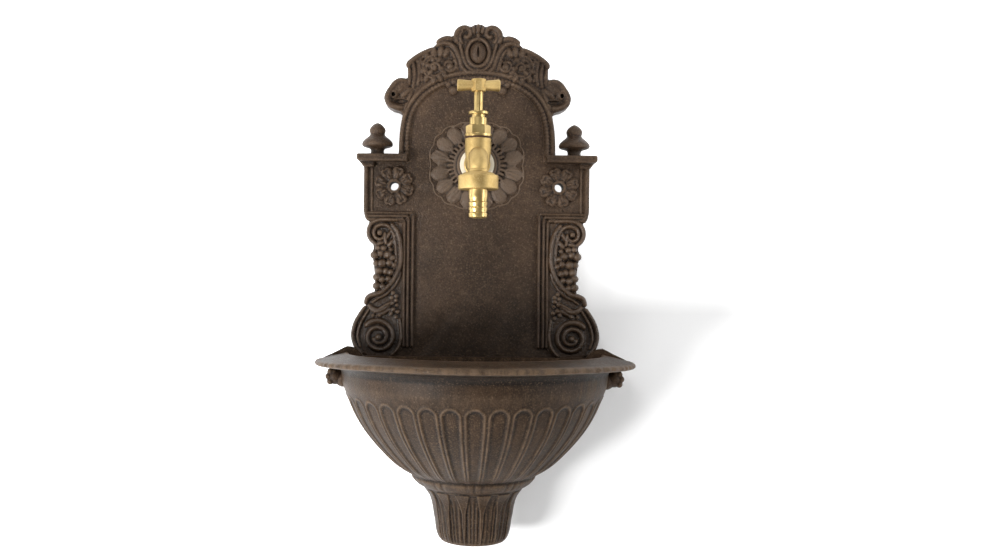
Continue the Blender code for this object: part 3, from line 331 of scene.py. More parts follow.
def finishPiece(piece, material, body, slot, replaced=(), sharp=None, relief=True):
    # metres, shading, material and the body it rides on
    mesh = piece.data
    if relief:
        markRelief(mesh)
    mesh.transform(Matrix.Diagonal((millimetre, millimetre, millimetre, 1)))
    mesh.shade_smooth()
    if sharp:
        mesh.set_sharp_from_angle(angle=math.radians(sharp))
    mesh.materials.clear()
    mesh.materials.append(material)
    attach(piece, body)
    if replaced:
        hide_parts(*replaced)
    return piece


def castOnPlate(bm, name, look, voxel, softening):
    # relief of the back plate: fused, cut off just under the field and finished
    piece = looseObject(bm, name)
    fuse(piece, voxel, softening)
    trimBehind(piece, fieldOut - 1)
    return finishPiece(piece, finishes[look], *onPlate)


def mirroredPiece(piece, name):
    mesh = piece.data.copy()
    mesh.transform(Matrix.Diagonal((-1, 1, 1, 1)))
    mesh.flip_normals()
    other = bpy.data.objects.new(name, mesh)
    bpy.context.scene.collection.objects.link(other)
    return other


# Materials

def srgb(red, green, blue):
    # colour as seen, 0 to 255, to the values that shaders take
    linear = [c / 255 / 12.92 if c <= 10 else ((c / 255 + 0.055) / 1.055) ** 2.4 for c in (red, green, blue)]
    return (*linear, 1)


def newMaterial(name):
    material = bpy.data.materials.new(name)
    material.use_nodes = True
    tree = material.node_tree
    shader = tree.nodes["Principled BSDF"]
    return material, tree, shader


def noiseOn(tree, scale, detail=4.0, roughness=0.55, stretch=(1, 1, 1)):
    where = tree.nodes.new("ShaderNodeTexCoord")
    mapping = tree.nodes.new("ShaderNodeMapping")
    mapping.inputs["Scale"].default_value = stretch
    texture = tree.nodes.new("ShaderNodeTexNoise")
    texture.inputs["Scale"].default_value = scale
    texture.inputs["Detail"].default_value = detail
    texture.inputs["Roughness"].default_value = roughness
    tree.links.new(where.outputs["Object"], mapping.inputs["Vector"])
    tree.links.new(mapping.outputs["Vector"], texture.inputs["Vector"])
    return texture.outputs["Fac"]


def spread(tree, value, low, high, newLow=0.0, newHigh=1.0):
    # stretches a value's range, clamped
    node = tree.nodes.new("ShaderNodeMapRange")
    node.inputs["From Min"].default_value = low
    node.inputs["From Max"].default_value = high
    node.inputs["To Min"].default_value = newLow
    node.inputs["To Max"].default_value = newHigh
    tree.links.new(value, node.inputs["Value"])
    return node.outputs["Result"]


def blendColours(tree, factor, first, second, mode="MIX"):
    node = tree.nodes.new("ShaderNodeMix")
    node.data_type = "RGBA"
    node.blend_type = mode
    tree.links.new(factor, node.inputs["Factor"])
    for socket, colour in ((node.inputs[6], first), (node.inputs[7], second)):
        if isinstance(colour, tuple):
            socket.default_value = colour
        else:
            tree.links.new(colour, socket)
    return node.outputs[2]


def mathOn(tree, operation, first, second):
    node = tree.nodes.new("ShaderNodeMath")
    node.operation = operation
    for socket, value in zip(node.inputs, (first, second)):
        if isinstance(value, (int, float)):
            socket.default_value = value
        else:
            tree.links.new(value, socket)
    return node.outputs["Value"]


def bumpFrom(tree, height, distance, strength=1.0, under=None):
    node = tree.nodes.new("ShaderNodeBump")
    node.inputs["Strength"].default_value = strength
    node.inputs["Distance"].default_value = distance
    tree.links.new(height, node.inputs["Height"])
    if under:
        tree.links.new(under, node.inputs["Normal"])
    return node.outputs["Normal"]


plateIron = {
    # dust and sheen: the ridges' colour, partly dust and wear, partly a painted highlight; it also colours
    # the light grains
    "body": srgb(70, 53, 39), "shade": srgb(52, 39, 28), "dustAndSheen": srgb(112, 92, 74),
             # hollow: darkens the hollows, partly patina, partly painted shade; it also colours the dark
             # grains
             "hollow": srgb(24, 17, 12),
    "speck": srgb(90, 71, 54), "streak": (1, 1, 1), "roughness": (0.34, 0.5), "skin": 1.2, "grain": 0.75,
    "ridge": 0.5, "deep": 0.8, "specular": 0.22,
    # painted shade low on the plate, where the basin's shadow falls, and painted light on the crest at the
    # top
    "paintedLightAndShade": [(-0.33, 0.8), (-0.2, 0.45), (-0.15, 0.55), (-0.08, 0.88), (0.03, 1.0), (0.1, 1.1)],
}
shellIron = {**plateIron, "body": srgb(104, 88, 74), "shade": srgb(84, 70, 58), "grain": 0.35}
# brighter ridges on the consoles: partly dust, partly a painted highlight that stands in for their gloss
consoleIron = {**plateIron, "body": srgb(76, 57, 41), "shade": srgb(54, 39, 27), "dustAndSheen": srgb(132, 109, 87),
               "roughness": (0.22, 0.36), "specular": 0.36, "grain": 0.3}
basinIron = {
    # dust and sheen on the basin's ridges: partly dust and wear, partly a painted highlight
    "body": srgb(60, 45, 32), "shade": srgb(42, 31, 21), "dustAndSheen": srgb(110, 90, 71),
             # hollows between the flutes darker: partly patina, partly painted shade
             "hollow": srgb(20, 14, 10),
    "speck": srgb(88, 68, 51), "streak": (2.4, 2.4, 0.26), "roughness": (0.4, 0.56), "skin": 0.6,
             "grain": 0.6,
    "ridge": 0.6, "deep": 0.92, "specular": 0.15, "paintedLightAndShade": [(-0.37, 1.0), (-0.16, 1.0)],
}
earIron = {**basinIron, "body": srgb(60, 45, 33), "shade": srgb(44, 32, 23)}


def paintLightAndShadeByHeight(tree, colour, steps):
    # multiplies the colour by a value that follows the height, in metres; it is painted shade where the value
    # is under one and painted light where it is over one
    where = tree.nodes.new("ShaderNodeTexCoord")
    split = tree.nodes.new("ShaderNodeSeparateXYZ")
    tree.links.new(where.outputs["Object"], split.inputs["Vector"])
    value = None
    for (z0, v0), (z1, v1) in zip(steps, steps[1:]):
        part = spread(tree, split.outputs["Z"], z0, z1, 0 if value else v0, v1 - v0 if value else v1)
        value = mathOn(tree, "ADD", value, part) if value else part
    whole = tree.nodes.new("ShaderNodeCombineColor")
    for channel in ("Red", "Green", "Blue"):
        tree.links.new(value, whole.inputs[channel])
    mixer = tree.nodes.new("ShaderNodeMix")
    mixer.data_type = "RGBA"
    mixer.blend_type = "MULTIPLY"
    mixer.inputs["Factor"].default_value = 1.0
    tree.links.new(colour, mixer.inputs[6])
    tree.links.new(whole.outputs["Color"], mixer.inputs[7])
    return mixer.outputs[2]


def castIron(name, look):
    material, tree, shader = newMaterial(name)
    clouds = noiseOn(tree, 14, 5, 0.6, look["streak"])
    patches = noiseOn(tree, 75, 6, 0.65, look["streak"])
    grains = noiseOn(tree, 620, 4, 0.7)
    peel = noiseOn(tree, 780, 2, 0.5)
    grit = noiseOn(tree, 2400, 2, 0.5)
    relief = tree.nodes.new("ShaderNodeAttribute")
    relief.attribute_name = "relief"
    height = relief.outputs["Fac"]
    colour = blendColours(tree, spread(tree, clouds, 0.38, 0.64), look["shade"], look["body"])
    colour = blendColours(tree, spread(tree, patches, 0.5, 0.72, 0, 0.45), colour, look["speck"])
    # ridges lighter in patches: partly dust and wear, partly a painted highlight
    worn = spread(tree, patches, 0.34, 0.6, look["ridge"] * 0.3, look["ridge"])
    ridge = mathOn(tree, "MULTIPLY", spread(tree, height, 0.1, 0.8), worn)
    colour = blendColours(tree, ridge, colour, look["dustAndSheen"])
    # hollows darker: partly patina, partly painted shade
    hollow = spread(tree, height, -0.06, -0.65, 0, look["deep"])
    colour = blendColours(tree, hollow, colour, look["hollow"])
    colour = blendColours(tree, spread(tree, grains, 0.54, 0.7, 0, look["grain"]), colour, look["dustAndSheen"])
    colour = blendColours(tree, spread(tree, grains, 0.46, 0.3, 0, look["grain"]), colour, look["hollow"])
    # painted shade and painted light that follow the height
    colour = paintLightAndShadeByHeight(tree, colour, look["paintedLightAndShade"])
    tree.links.new(colour, shader.inputs["Base Color"])
    tree.links.new(spread(tree, patches, 0.3, 0.7, *look["roughness"]), shader.inputs["Roughness"])
    shader.inputs["Specular IOR Level"].default_value = look["specular"]
    coarse = bumpFrom(tree, peel, 0.0006, look["skin"])
    tree.links.new(bumpFrom(tree, grit, 0.0002, look["skin"] * 0.6, coarse), shader.inputs["Normal"])
    return material


castBrass = {
    "body": srgb(196, 170, 114), "worn": srgb(210, 187, 136), "shade": srgb(172, 145, 92),
             "roughness": (0.5, 0.6),
    "stretch": (1, 1, 1), "skin": 0.12,
}
turnedBrass = {
    "body": srgb(206, 181, 122), "worn": srgb(224, 203, 150), "shade": srgb(180, 152, 96),
               "roughness": (0.28, 0.38),
    "stretch": (1, 1, 9), "skin": 0.05,
}


def brassFinish(name, look):
    material, tree, shader = newMaterial(name)
    clouds = noiseOn(tree, 60, 4, 0.55)
    lines = noiseOn(tree, 700, 3, 0.6, look["stretch"])
    colour = blendColours(tree, spread(tree, clouds, 0.36, 0.62), look["shade"], look["body"])
    colour = blendColours(tree, spread(tree, lines, 0.5, 0.72, 0, 0.6), colour, look["worn"])
    tree.links.new(colour, shader.inputs["Base Color"])
    shader.inputs["Metallic"].default_value = 1.0
    tree.links.new(spread(tree, clouds, 0.3, 0.7, *look["roughness"]), shader.inputs["Roughness"])
    tree.links.new(bumpFrom(tree, lines, 0.0002, look["skin"]), shader.inputs["Normal"])
    return material


smallFinishes = {
    "steel": {"colour": srgb(168, 168, 164), "other": srgb(140, 141, 140), "metallic": 1.0,
              "roughness": (0.28, 0.45)},
    "rubber": {"colour": srgb(34, 33, 32), "other": srgb(52, 50, 48), "metallic": 0.0,
               "roughness": (0.6, 0.8)},
    "cream_nylon": {"colour": srgb(228, 221, 202), "other": srgb(214, 205, 184), "metallic": 0.0,
                    "roughness": (0.38, 0.52)},
    "fibre": {"colour": srgb(84, 50, 34), "other": srgb(66, 40, 28), "metallic": 0.0,
              "roughness": (0.6, 0.8)},
    "packing": {"colour": srgb(186, 170, 134), "other": srgb(150, 134, 100), "metallic": 0.0,
                "roughness": (0.75, 0.9)},
}


def smallFinish(name, look):
    material, tree, shader = newMaterial(name)
    clouds = noiseOn(tree, 120, 5, 0.6)
    grit = noiseOn(tree, 1600, 3, 0.6)
    tree.links.new(blendColours(tree, spread(tree, clouds, 0.35, 0.65), look["other"], look["colour"]),
                   shader.inputs["Base Color"])
    shader.inputs["Metallic"].default_value = look["metallic"]
    tree.links.new(spread(tree, clouds, 0.3, 0.7, *look["roughness"]), shader.inputs["Roughness"])
    tree.links.new(bumpFrom(tree, grit, 0.0002, 0.25), shader.inputs["Normal"])
    return material


finishes = {"plate_iron": castIron("plateIron", plateIron), "shell": castIron("shellIron", shellIron),
            "console": castIron("consoleIron", consoleIron), "basin_iron": castIron("basinIron", basinIron),
            "ear": castIron("earIron", earIron),
            "brass": brassFinish("castBrass", castBrass),
            "turned_brass": brassFinish("turnedBrass", turnedBrass)}
for slotName, look in smallFinishes.items():
    finishes[slotName] = smallFinish(slotName, look)
print("finishes ready")


# Back plate: the field, its hollow back, the bosses and the rib

plate = {
    "fieldOut": 20.0, "wall": 5.0, "edgeRound": 1.32,
    "screwSpacing": 170.3, "screwHole": 9.3, "bossRadius": 11.0, "ribThickness": 6.0,
    "crestLine": [(0, 168), (4, 167.4), (7, 165.6), (14, 166.5), (20.5, 163.3), (25.8, 156), (33, 154.5),
                  (39.7, 151.5), (46.1, 144.3), (58.4, 137.9), (67.9, 131.1), (72.3, 125.7), (72.4, 112.3),
                  (79, 112.2), (84, 109.4), (88.5, 103.6), (95.3, 96), (96.7, 90.6), (93.8, 83.7),
                  (87.7, 79.6), (80.9, 77.7), (77.3, 73.3), (78.1, 62.8), (79.8, 48.7), (81.4, 31)],
    "pierLine": [(118, 30.0), (116.7, 20.0), (116.7, -25), (114.4, -34), (111.6, -36.4)],
    "consoleLine": [(110.5, -36.6), (112.8, -46), (110.7, -54.6), (105.6, -63), (108.3, -71), (106.1, -77.3),
                    (104.8, -88.2), (104.2, -97.1), (105, -110.2), (111.6, -112.8), (114, -124.6),
                    (120, -134.2), (126.1, -143.2), (128, -154.8), (124, -168)],
    "apronLine": [(119, -190), (112, -212), (101, -236), (86, -258), (66, -276), (46, -291), (38, -306),
                  (33, -322), (29, -338), (23, -352)],
    "hollowLine": [(0, 160), (18, 157), (22, 149), (40, 141), (62, 126), (66, 105), (82, 100), (88, 92),
                   (80, 84), (71, 76), (74, 26), (111.7, 15), (111.7, -31), (105, -40), (104, -54),
                   (99, -64), (98, -104), (107, -120), (119, -146), (119, -166), (113, -190), (106, -211),
                   (95, -234), (80, -254), (60, -271), (40, -286), (31, -304), (26, -322), (21, -347)],
    "boltPlaces": ((-78.0, -196.0), (78.0, -196.0), (0.0, -236.0)), "boltHole": 8.6,
    "castingPits": ((72.5, -11.2), (89.7, -23.9)), "pitRadius": 0.95,
}
fieldOut = plate["fieldOut"]


def plateOutline():
    lower = finer(plate["consoleLine"]) + finer(plate["apronLine"])
    return finer(plate["crestLine"]) + plate["pierLine"] + lower


def makePlate():
    bm = bmesh.new()
    slab(bm, bothHalves(plateOutline()), 0, fieldOut)
    piece = looseObject(bm, "backPlate")
    hollow = bmesh.new()
    slab(hollow, bothHalves(plate["hollowLine"]), -1, fieldOut - plate["wall"])
    carve(piece, hollow)
    hub = bmesh.new()
    rod(hub, shell["recess"], 0, shell["centreZ"], -1, fieldOut + 1)
    carve(piece, hub)
    half = plate["screwSpacing"] / 2
    bosses = bmesh.new()
    depth = fieldOut - plate["wall"] + 1
    for side in (-1, 1):
        rod(bosses, plate["bossRadius"], side * half, 0, 0, depth)
    carve(piece, bosses, "UNION")
    rib = bmesh.new()
    reach, high = half - plate["bossRadius"] + 2, plate["ribThickness"] / 2
    slab(rib, [(-reach, -high), (reach, -high), (reach, high), (-reach, high)], 0, depth)
    carve(piece, rib, "UNION")
    holes = bmesh.new()
    for side in (-1, 1):
        rod(holes, plate["screwHole"] / 2, side * half, 0, -1, fieldOut + 1)
    for x, z in plate["boltPlaces"]:
        rod(holes, plate["boltHole"] / 2, x, z, -1, fieldOut + 1)
    for x, z in plate["castingPits"]:
        rod(holes, plate["pitRadius"], x, z, fieldOut - 2.6, fieldOut + 1, 16)
    carve(piece, holes)
    roundEdges(piece, plate["edgeRound"], 50)
    return finishPiece(piece, finishes["plate_iron"], *onPlate, sharp=40, relief=False)


# Shell behind the tap

shell = {
    "centreZ": 22.0, "halfWidth": 48.2, "halfHeight": 44.2, "hub": 20.5, "hubOut": 30.0, "hubWall": 6.0,
    "recess": 21.5, "collar": 24.0, "bore": 11.05, "petals": 16, "petalHeight": 3.4, "ridges": 36,
         "voxel": 0.7,
    "squareness": 0.78,
}


def shellPoint(angle, share):
    # nearer the rim the round becomes a square with full corners
    power = 1 - (1 - shell["squareness"]) * max(0.0, share - 0.5) * 2
    across = math.copysign(abs(math.cos(angle)) ** power, math.cos(angle))
    up = math.copysign(abs(math.sin(angle)) ** power, math.sin(angle))
    return shell["halfWidth"] * share * across, shell["centreZ"] + shell["halfHeight"] * share * up


def makeShell():
    bm = bmesh.new()
    slab(bm, [shellPoint(math.tau * k / 96, 0.84) for k in range(96)], fieldOut - 2, fieldOut + 0.9)
    for k in range(shell["petals"]):
        angle = math.tau * (k + 0.5) / shell["petals"]
        height = shell["petalHeight"] * (1 + 0.12 * math.cos(2.3 * k))
        petal(bm, shellPoint(angle, 0.79), 9.9, 8.0, height, math.degrees(angle), fieldOut - 0.2)
        for lean, width in ((-0.11, 0.8), (0.0, 1.1), (0.11, 0.8)):
            line = [shellPoint(angle + lean * 0.4, 0.6), shellPoint(angle + lean, 0.78),
                    shellPoint(angle + lean * 1.1, 0.93)]
            strand(bm, line, [width * 0.8, width, width * 0.6], 1.5, fieldOut + 1.9, sides=8)
    rim = []
    for k in range(shell["petals"] * 6 + 1):
        angle = math.tau * k / (shell["petals"] * 6)
        rim.append(shellPoint(angle, 0.985 + 0.035 * abs(math.sin(angle * shell["petals"] / 2))))
    strand(bm, rim, 0.9, 1.0, fieldOut + 0.2, sides=8)
    for k in range(shell["ridges"]):
        angle = math.tau * k / shell["ridges"]
        line = [shellPoint(angle, 0.44), shellPoint(angle, 0.53), shellPoint(angle, 0.62)]
        strand(bm, line, [1.5, 1.7, 1.3], 2.6, fieldOut + 1.4, sides=8)
    rod(bm, shell["hub"], 0, shell["centreZ"], fieldOut - 2, shell["hubOut"])
    rod(bm, shell["collar"], 0, shell["centreZ"], fieldOut - 2, fieldOut + 5.5)
    piece = looseObject(bm, "tapShell")
    fuse(piece, shell["voxel"], 1)
    trimBehind(piece, fieldOut - 1)
    hollow = bmesh.new()
    rod(hollow, shell["recess"], 0, shell["centreZ"], fieldOut - 6, shell["hubOut"] - shell["hubWall"])
    carve(piece, hollow)
    bore = bmesh.new()
    rod(bore, shell["bore"], 0, shell["centreZ"], 0, shell["hubOut"] + 5)
    carve(piece, bore)
    return finishPiece(piece, finishes["shell"], *onPlate)


# Arch: a smooth outer roll, a beaded inner one and the drops that hang from them

arch = {
    "line": [(72.5, 26), (72.4, 42), (71.6, 57), (69.0, 71.5), (64.4, 82.5), (56.6, 92.6), (48, 99.6),
             (37.4, 105.4), (25, 109.6), (12, 111.8), (0, 112.4), (-4, 112.3)],
    "roll": 2.9, "rollAway": 5.6, "beads": 2.7, "beadDepth": 0.08, "beadStep": 3.8, "voxel": 0.7,
    "drops": [(25.4, 99.4, 4.7), (30.2, 105.0, 3.2), (20.4, 105.2, 3.2), (25.2, 107.6, 3.2)],
}


def offsetLine(points, distance):
    # the same line, moved outwards
    moved = []
    for i, (x, z) in enumerate(points):
        x0, z0 = points[max(i - 1, 0)]
        x1, z1 = points[min(i + 1, len(points) - 1)]
        length = math.hypot(x1 - x0, z1 - z0)
        moved.append((x + (z1 - z0) / length * distance, z - (x1 - x0) / length * distance))
    return moved


def makeArch():
    bm = bmesh.new()
    line = arch["line"]
    strand(bm, offsetLine(line, arch["rollAway"]), arch["roll"], 1.3, fieldOut + 0.6)
    strand(bm, line, arch["beads"], 1.3, fieldOut + 0.4, beads=arch["beadDepth"], beadStep=arch["beadStep"],
           spacing=0.8)
    strand(bm, offsetLine(line, -3.2), 0.8, 1.2, fieldOut)
    for x, z, radius in arch["drops"]:
        knob(bm, (x, fieldOut + 1.8, z), radius)
    mirrorHalf(bm)
    return castOnPlate(bm, "archMoulding", "plate_iron", arch["voxel"], 2)


# Crest: cartouche, palmette, scrolls, leaves and the curls at its ends

crest = {
    "cartouche": (0, 137.8), "groundOut": 22.6, "voxel": 0.62, "softening": 5, "flatten": 0.8,
    "fan": [(0, 162.6, 5.2, 2.5, 90), (4.6, 161.4, 4.4, 1.9, 80), (0, 155.2, 3.4, 2.2, 90)],
    "leafHeart": (44.6, 122.2),
    "leaves": [(32.8, 138.0, 5.8, 3.4, 118), (38.6, 138.6, 6.0, 3.7, 100), (45.4, 137.0, 6.2, 3.9, 78),
               (51.6, 132.8, 6.2, 3.9, 46), (55.2, 126.2, 6.0, 3.8, 12), (55.6, 118.8, 5.8, 3.7, -20),
               (52.2, 112.4, 5.6, 3.6, -56), (45.8, 109.8, 5.4, 3.5, -88), (39.4, 112.2, 5.0, 3.3, -118),
               (46.6, 130.2, 4.8, 3.2, 70), (50.8, 124.0, 4.8, 3.2, 8), (49.0, 117.0, 4.6, 3.1, -50),
               (41.0, 129.6, 4.6, 3.1, 124), (38.0, 121.4, 4.4, 3.0, 175)],
    "leafArcs": [(9.4, 130, -0.78, 2.2, 0.4), (12.6, 96, -0.5, 1.5, 1.6)],
    "ribs": [[(71.0, 122.5), (70.2, 113), (71.0, 103)], [(66.8, 127.4), (65.2, 115), (66.6, 101.5)],
             [(62.2, 131), (60.2, 117), (62.2, 103.5)], [(57.6, 133.6), (60, 124), (57.6, 107.5)]],
    "curl": [(71.2, 107.2), (76.6, 108.4), (81.4, 107.6), (85.4, 104.6), (88.2, 100.6), (91.0, 96.2),
             (92.6, 91.4), (91.6, 86.2), (88.0, 82.8), (82.0, 81.2), (75.8, 81.0)],
    "curlFold": [(79.0, 101.5, 9.6, 6.2, 5.4, -24), (85.6, 96.6, 7.0, 5.4, 5.0, -66),
                 (73.4, 96.6, 7.4, 3.4, 4.4, -40)],
    "marks": [(86.8, 94.2, 2.2, 2.6), (79.4, 87.2, 8.0, 2.9)],
}


def makeCrest():
    bm = bmesh.new()
    base = crest["groundOut"]
    ground = finer(plate["crestLine"][:-3] + [(79, 60)])
    inner = finer(offsetLine(arch["line"], 4.0)[2:])
    slab(bm, [(-2, 166.6)] + [(x * 0.985, z - 0.8) for x, z in ground] + inner, fieldOut - 2, base)
    knob(bm, (crest["leafHeart"][0] + 1, base - 1.4, crest["leafHeart"][1]), 1.0, (14.5, 4.4, 16))
    # palmette over the cartouche
    for x, z, length, width, angle in crest["fan"]:
        petal(bm, (x, z), length, width, 4.6, angle, base)
    lobe = [(21.6, 147), (22.8, 152.6), (21.8, 158.6), (17.6, 162.6), (12.4, 163.4), (8.6, 160.6),
            (8.6, 156.4), (11.4, 153.8), (14.6, 155.6)]
    strand(bm, lobe, [2.4, 2.9, 3.2, 3.2, 3.0, 2.6, 2.3, 2.1, 1.9], 1.6, base)
    strand(bm, [(15.4, 160.4), (18.6, 156.8), (18.6, 151.6), (16.2, 147.4)], [1.2, 1.7, 1.7, 1.3], 1.9,
           base + 0.6)
    # cartouche
    x0, z0 = crest["cartouche"]
    knob(bm, (x0, base + 0.8, z0), 1.0, (8.2, 7.4, 10.8))
    ring = [(x0 + 11.4 * math.cos(a), z0 + 14.2 * math.sin(a)) for a in np.linspace(-1.9, 1.9, 17)]
    strand(bm, ring, 2.1, 1.8, base + 0.6)
    strand(bm, [(19.6, 149.6), (17.6, 141.4), (15.2, 132.6), (11.4, 124.8), (5.4, 120.2), (0, 119.6),
                (-4, 119.9)],
           [1.4, 1.9, 2.1, 2.0, 1.8, 1.8, 1.8], 1.6, base)
    # great scroll, its shadow ridge and its volute
    strand(bm, [(43, 145), (34.6, 147.6), (27.4, 145.2), (22.6, 139.4), (19.0, 131.0), (16.2, 122.8),
                (10.4, 117.2)],
           [2.0, 2.7, 2.8, 2.7, 2.5, 2.3, 1.8], 1.7, base)
    strand(bm, [(33, 143.2), (28.2, 139.6), (24.6, 133.6), (22.0, 126.4), (20.6, 119.6)],
           [1.1, 1.6, 1.7, 1.6, 1.1], 1.9, base)
    strand(bm, scroll((29.4, 124.6), 7.4, 3.0, 118, 1.1), [2.5, 2.4, 2.0], 1.7, base)
    knob(bm, (28.6, base + 2.4, 123.4), 3.4)
    # rims on the outline, each with a ridge inside it
    strand(bm, [(72.0, 121.6), (71.2, 126), (66.6, 130.2), (59.8, 134.8), (52.0, 138.8), (44.6, 141.8)],
           [2.6, 3.0, 3.1, 3.1, 3.0, 2.6], 1.5, base - 0.3)
    strand(bm, [(43.0, 146.8), (37.4, 151.0), (30.6, 152.6), (25.6, 150.8)], [2.7, 3.0, 3.0, 2.4], 1.5,
           base - 0.3)
    strand(bm, [(62.5, 127.8), (56.4, 132.6), (50.4, 135.8)], [1.1, 1.5, 1.1], 1.8, base + 0.2)
    # curling leaf between the scroll and the ribs
    for k, (x, z, length, width, angle) in enumerate(crest["leaves"]):
        petal(bm, (x, z), length, width, 4.4 + 0.7 * (k % 3) + (1.2 if k > 8 else 0), angle, base - 0.2)
    for radius, start, turns, width, lift in crest["leafArcs"]:
        strand(bm, scroll(crest["leafHeart"], radius, radius * 0.9, start, turns),
               [width * 0.7, width, width * 0.7],
               1.9, base + 1.4 + lift)
    strand(bm, scroll(crest["leafHeart"], 5.4, 1.4, 200, -1.05), [2.2, 2.1, 1.5], 2.0, base + 3.2)
    knob(bm, (crest["leafHeart"][0], base + 4.6, crest["leafHeart"][1]), 2.3)
    petal(bm, (36.4, 118.6), 5.4, 2.6, 4.6, 40, base)
    petal(bm, (33.8, 113.8), 4.6, 2.3, 4.0, 10, base)
    # ribbed bundle that falls to the curl
    for line in crest["ribs"]:
        strand(bm, line, [1.6, 2.4, 1.7], 1.7, base)
    # curl at the end, with a dark hollow inside its lip
    strand(bm, crest["curl"], [2.4, 3.2, 3.7, 3.8, 3.8, 3.9, 3.9, 3.6, 3.2, 2.9, 2.3], 1.6, base - 0.6)
    for x, z, length, width, height, angle in crest["curlFold"]:
        petal(bm, (x, z), length, width, height, angle, base)
    strand(bm, [(66.4, 101.4), (69.4, 94), (72.6, 86), (75, 78)], [1.6, 2.1, 2.2, 1.9], 1.5, base - 0.6)
    mirrorHalf(bm)
    bmesh.ops.scale(bm, vec=(1, crest["flatten"], 1), space=Matrix.Translation((0, base, 0)), verts=bm.verts)
    piece = looseObject(bm, "crest")
    fuse(piece, crest["voxel"], crest["softening"])
    marks = bmesh.new()
    knob(marks, (x0, base + 7.0, z0), 1.0, (1.3, 2.8, 6.6))
    for side in (-1, 1):
        for x, z, width, height in crest["marks"]:
            knob(marks, (side * x, base + 1.6, z), 1.0, (width, 4.6, height))
    carve(piece, marks)
    trimBehind(piece, fieldOut - 1)
    return finishPiece(piece, finishes["plate_iron"], *onPlate)


# Piers: ledge, frame, rosette and finial

pier = {
    "inner": 62.0, "outer": 116.7, "ledgeTop": 32.5, "ledgeEnd": 123.4, "ledgeOut": 33.0, "ledgeHeight": 7.6,
    "bottom": -36.0, "frameLines": [(114.1, 2.7), (108.0, 1.4)], "footLines": [(-31.6, 1.7), (-34.9, 1.4)],
    "rosetteRadius": 20.2, "petals": 8, "voxel": 0.6, "softening": 3,
    "finialX": {-1: 103.1, 1: 100.6}, "finialOut": 18.0,
    "finial": [(0, 31), (7.8, 31), (7.3, 32.8), (6.8, 35.6), (7.4, 38.0), (9.6, 39.2), (13.4, 40.2),
               (15.6, 41.4), (16.1, 43.4), (14.8, 46.2), (12.2, 48.8), (9.2, 51.2), (7.5, 53.2), (7.9, 55.0),
               (8.4, 57.4), (7.6, 60.0), (5.4, 62.6), (2.6, 64.6), (0, 65.6)],
}


def makePier(side):
    bm = bmesh.new()
    top, end = pier["ledgeTop"], pier["ledgeEnd"]
    # ledge: a roll over a cove, cut back underneath at its end
    low = top - pier["ledgeHeight"]
    start = pier["inner"] + 9
    slab(bm, [(start, low), (end - 1.8, low), (end, low + 2.2), (end, top - 1), (end - 1, top),
              (start, top)], 2,
         pier["ledgeOut"], 3.2)
    slab(bm, [(106, 19.6), (116.9, 19.6), (121.0, 25.0), (121.0, low + 2), (106, low + 2)], 2,
         fieldOut + 4.6, 3.4)
    # frame lines down the outer side and along the foot of the pier
    for x, width in pier["frameLines"]:
        strand(bm, [(x, 20), (x, -10), (x, -25), (x - 2.2, pier["bottom"] + 1.5)], width, 1.3, fieldOut - 0.3)
    for z, width in pier["footLines"]:
        strand(bm, [(76, z), (90, z), (pier["outer"] - 3, z)], width, 1.4, fieldOut - 0.2)
    centre = plate["screwSpacing"] / 2
    for k in range(pier["petals"]):
        angle = math.tau * (k + 0.35) / pier["petals"]

        def petalPoint(share, across):
            reach = pier["rosetteRadius"] * share
            return (centre + reach * math.cos(angle) - across * math.sin(angle),
                    reach * math.sin(angle) + across * math.cos(angle))

        lean = 0.7 * math.sin(3.7 * k)
        petal(bm, petalPoint(0.64, 0), 7.2, 6.4, 4.2, math.degrees(angle), fieldOut - 0.4)
        for across in (-2.9, 2.9):
            petal(bm, petalPoint(0.72, across + lean), 4.8, 2.7, 4.9, math.degrees(angle) + across * 5,
                  fieldOut - 0.2)
        rim = [petalPoint(0.62, -5.4), petalPoint(0.84, -4.6), petalPoint(0.95, -2.2), petalPoint(0.91, 0),
               petalPoint(0.95, 2.2), petalPoint(0.84, 4.6), petalPoint(0.62, 5.4)]
        strand(bm, rim, [0.8, 1.3, 1.6, 1.3, 1.6, 1.3, 0.8], 1.6, fieldOut + 1.2)
        strand(bm, [petalPoint(0.4, 0), petalPoint(0.56, lean), petalPoint(0.8, 0)], [1.2, 1.5, 1.0], 1.6,
               fieldOut + 2.6)
    rod(bm, 7.2, centre, 0, fieldOut - 2, fieldOut + 3.4)
    turn(bm, finer(pier["finial"], 1.2), (pier["finialX"][side], pier["finialOut"]), 56)
    if side < 0:
        bmesh.ops.scale(bm, vec=(-1, 1, 1), verts=bm.verts)
        bmesh.ops.reverse_faces(bm, faces=bm.faces)
    piece = looseObject(bm, "leftPier" if side < 0 else "rightPier")
    fuse(piece, pier["voxel"], pier["softening"])
    hole = bmesh.new()
    rod(hole, plate["screwHole"] / 2, side * centre, 0, 0, 60)
    carve(piece, hole)
    return finishPiece(piece, finishes["plate_iron"], *onPlate)


# Fluted architraves, which turn the corner under the piers

architrave = {"lines": (65.2, 69.9, 74.0), "width": 1.75, "corner": -27.6, "cornerStep": 3.4, "foot": -167.0,
              "voxel": 0.6}


def makeArchitraves():
    bm = bmesh.new()
    for k, x in enumerate(architrave["lines"]):
        corner = architrave["corner"] - architrave["cornerStep"] * k
        strand(bm, [(x, architrave["foot"]), (x, -100), (x, corner - 4), (x, corner)], architrave["width"],
               1.8,
               fieldOut + 0.6, spacing=3)
        strand(bm, [(x, corner), (x + 6, corner), (pier["outer"] - 12, corner), (pier["outer"] - 3, corner)],
               architrave["width"] * 0.85, 1.6, fieldOut + 0.5, spacing=3)
    slab(bm, [(63.6, architrave["foot"]), (76.2, architrave["foot"]), (76.2, -37), (63.6, -26)], fieldOut - 2,
         fieldOut + 1.0)
    mirrorHalf(bm)
    return castOnPlate(bm, "architraves", "plate_iron", architrave["voxel"], 1)


# Consoles: upper volute, S-rib, grapes, leaf and lower volute

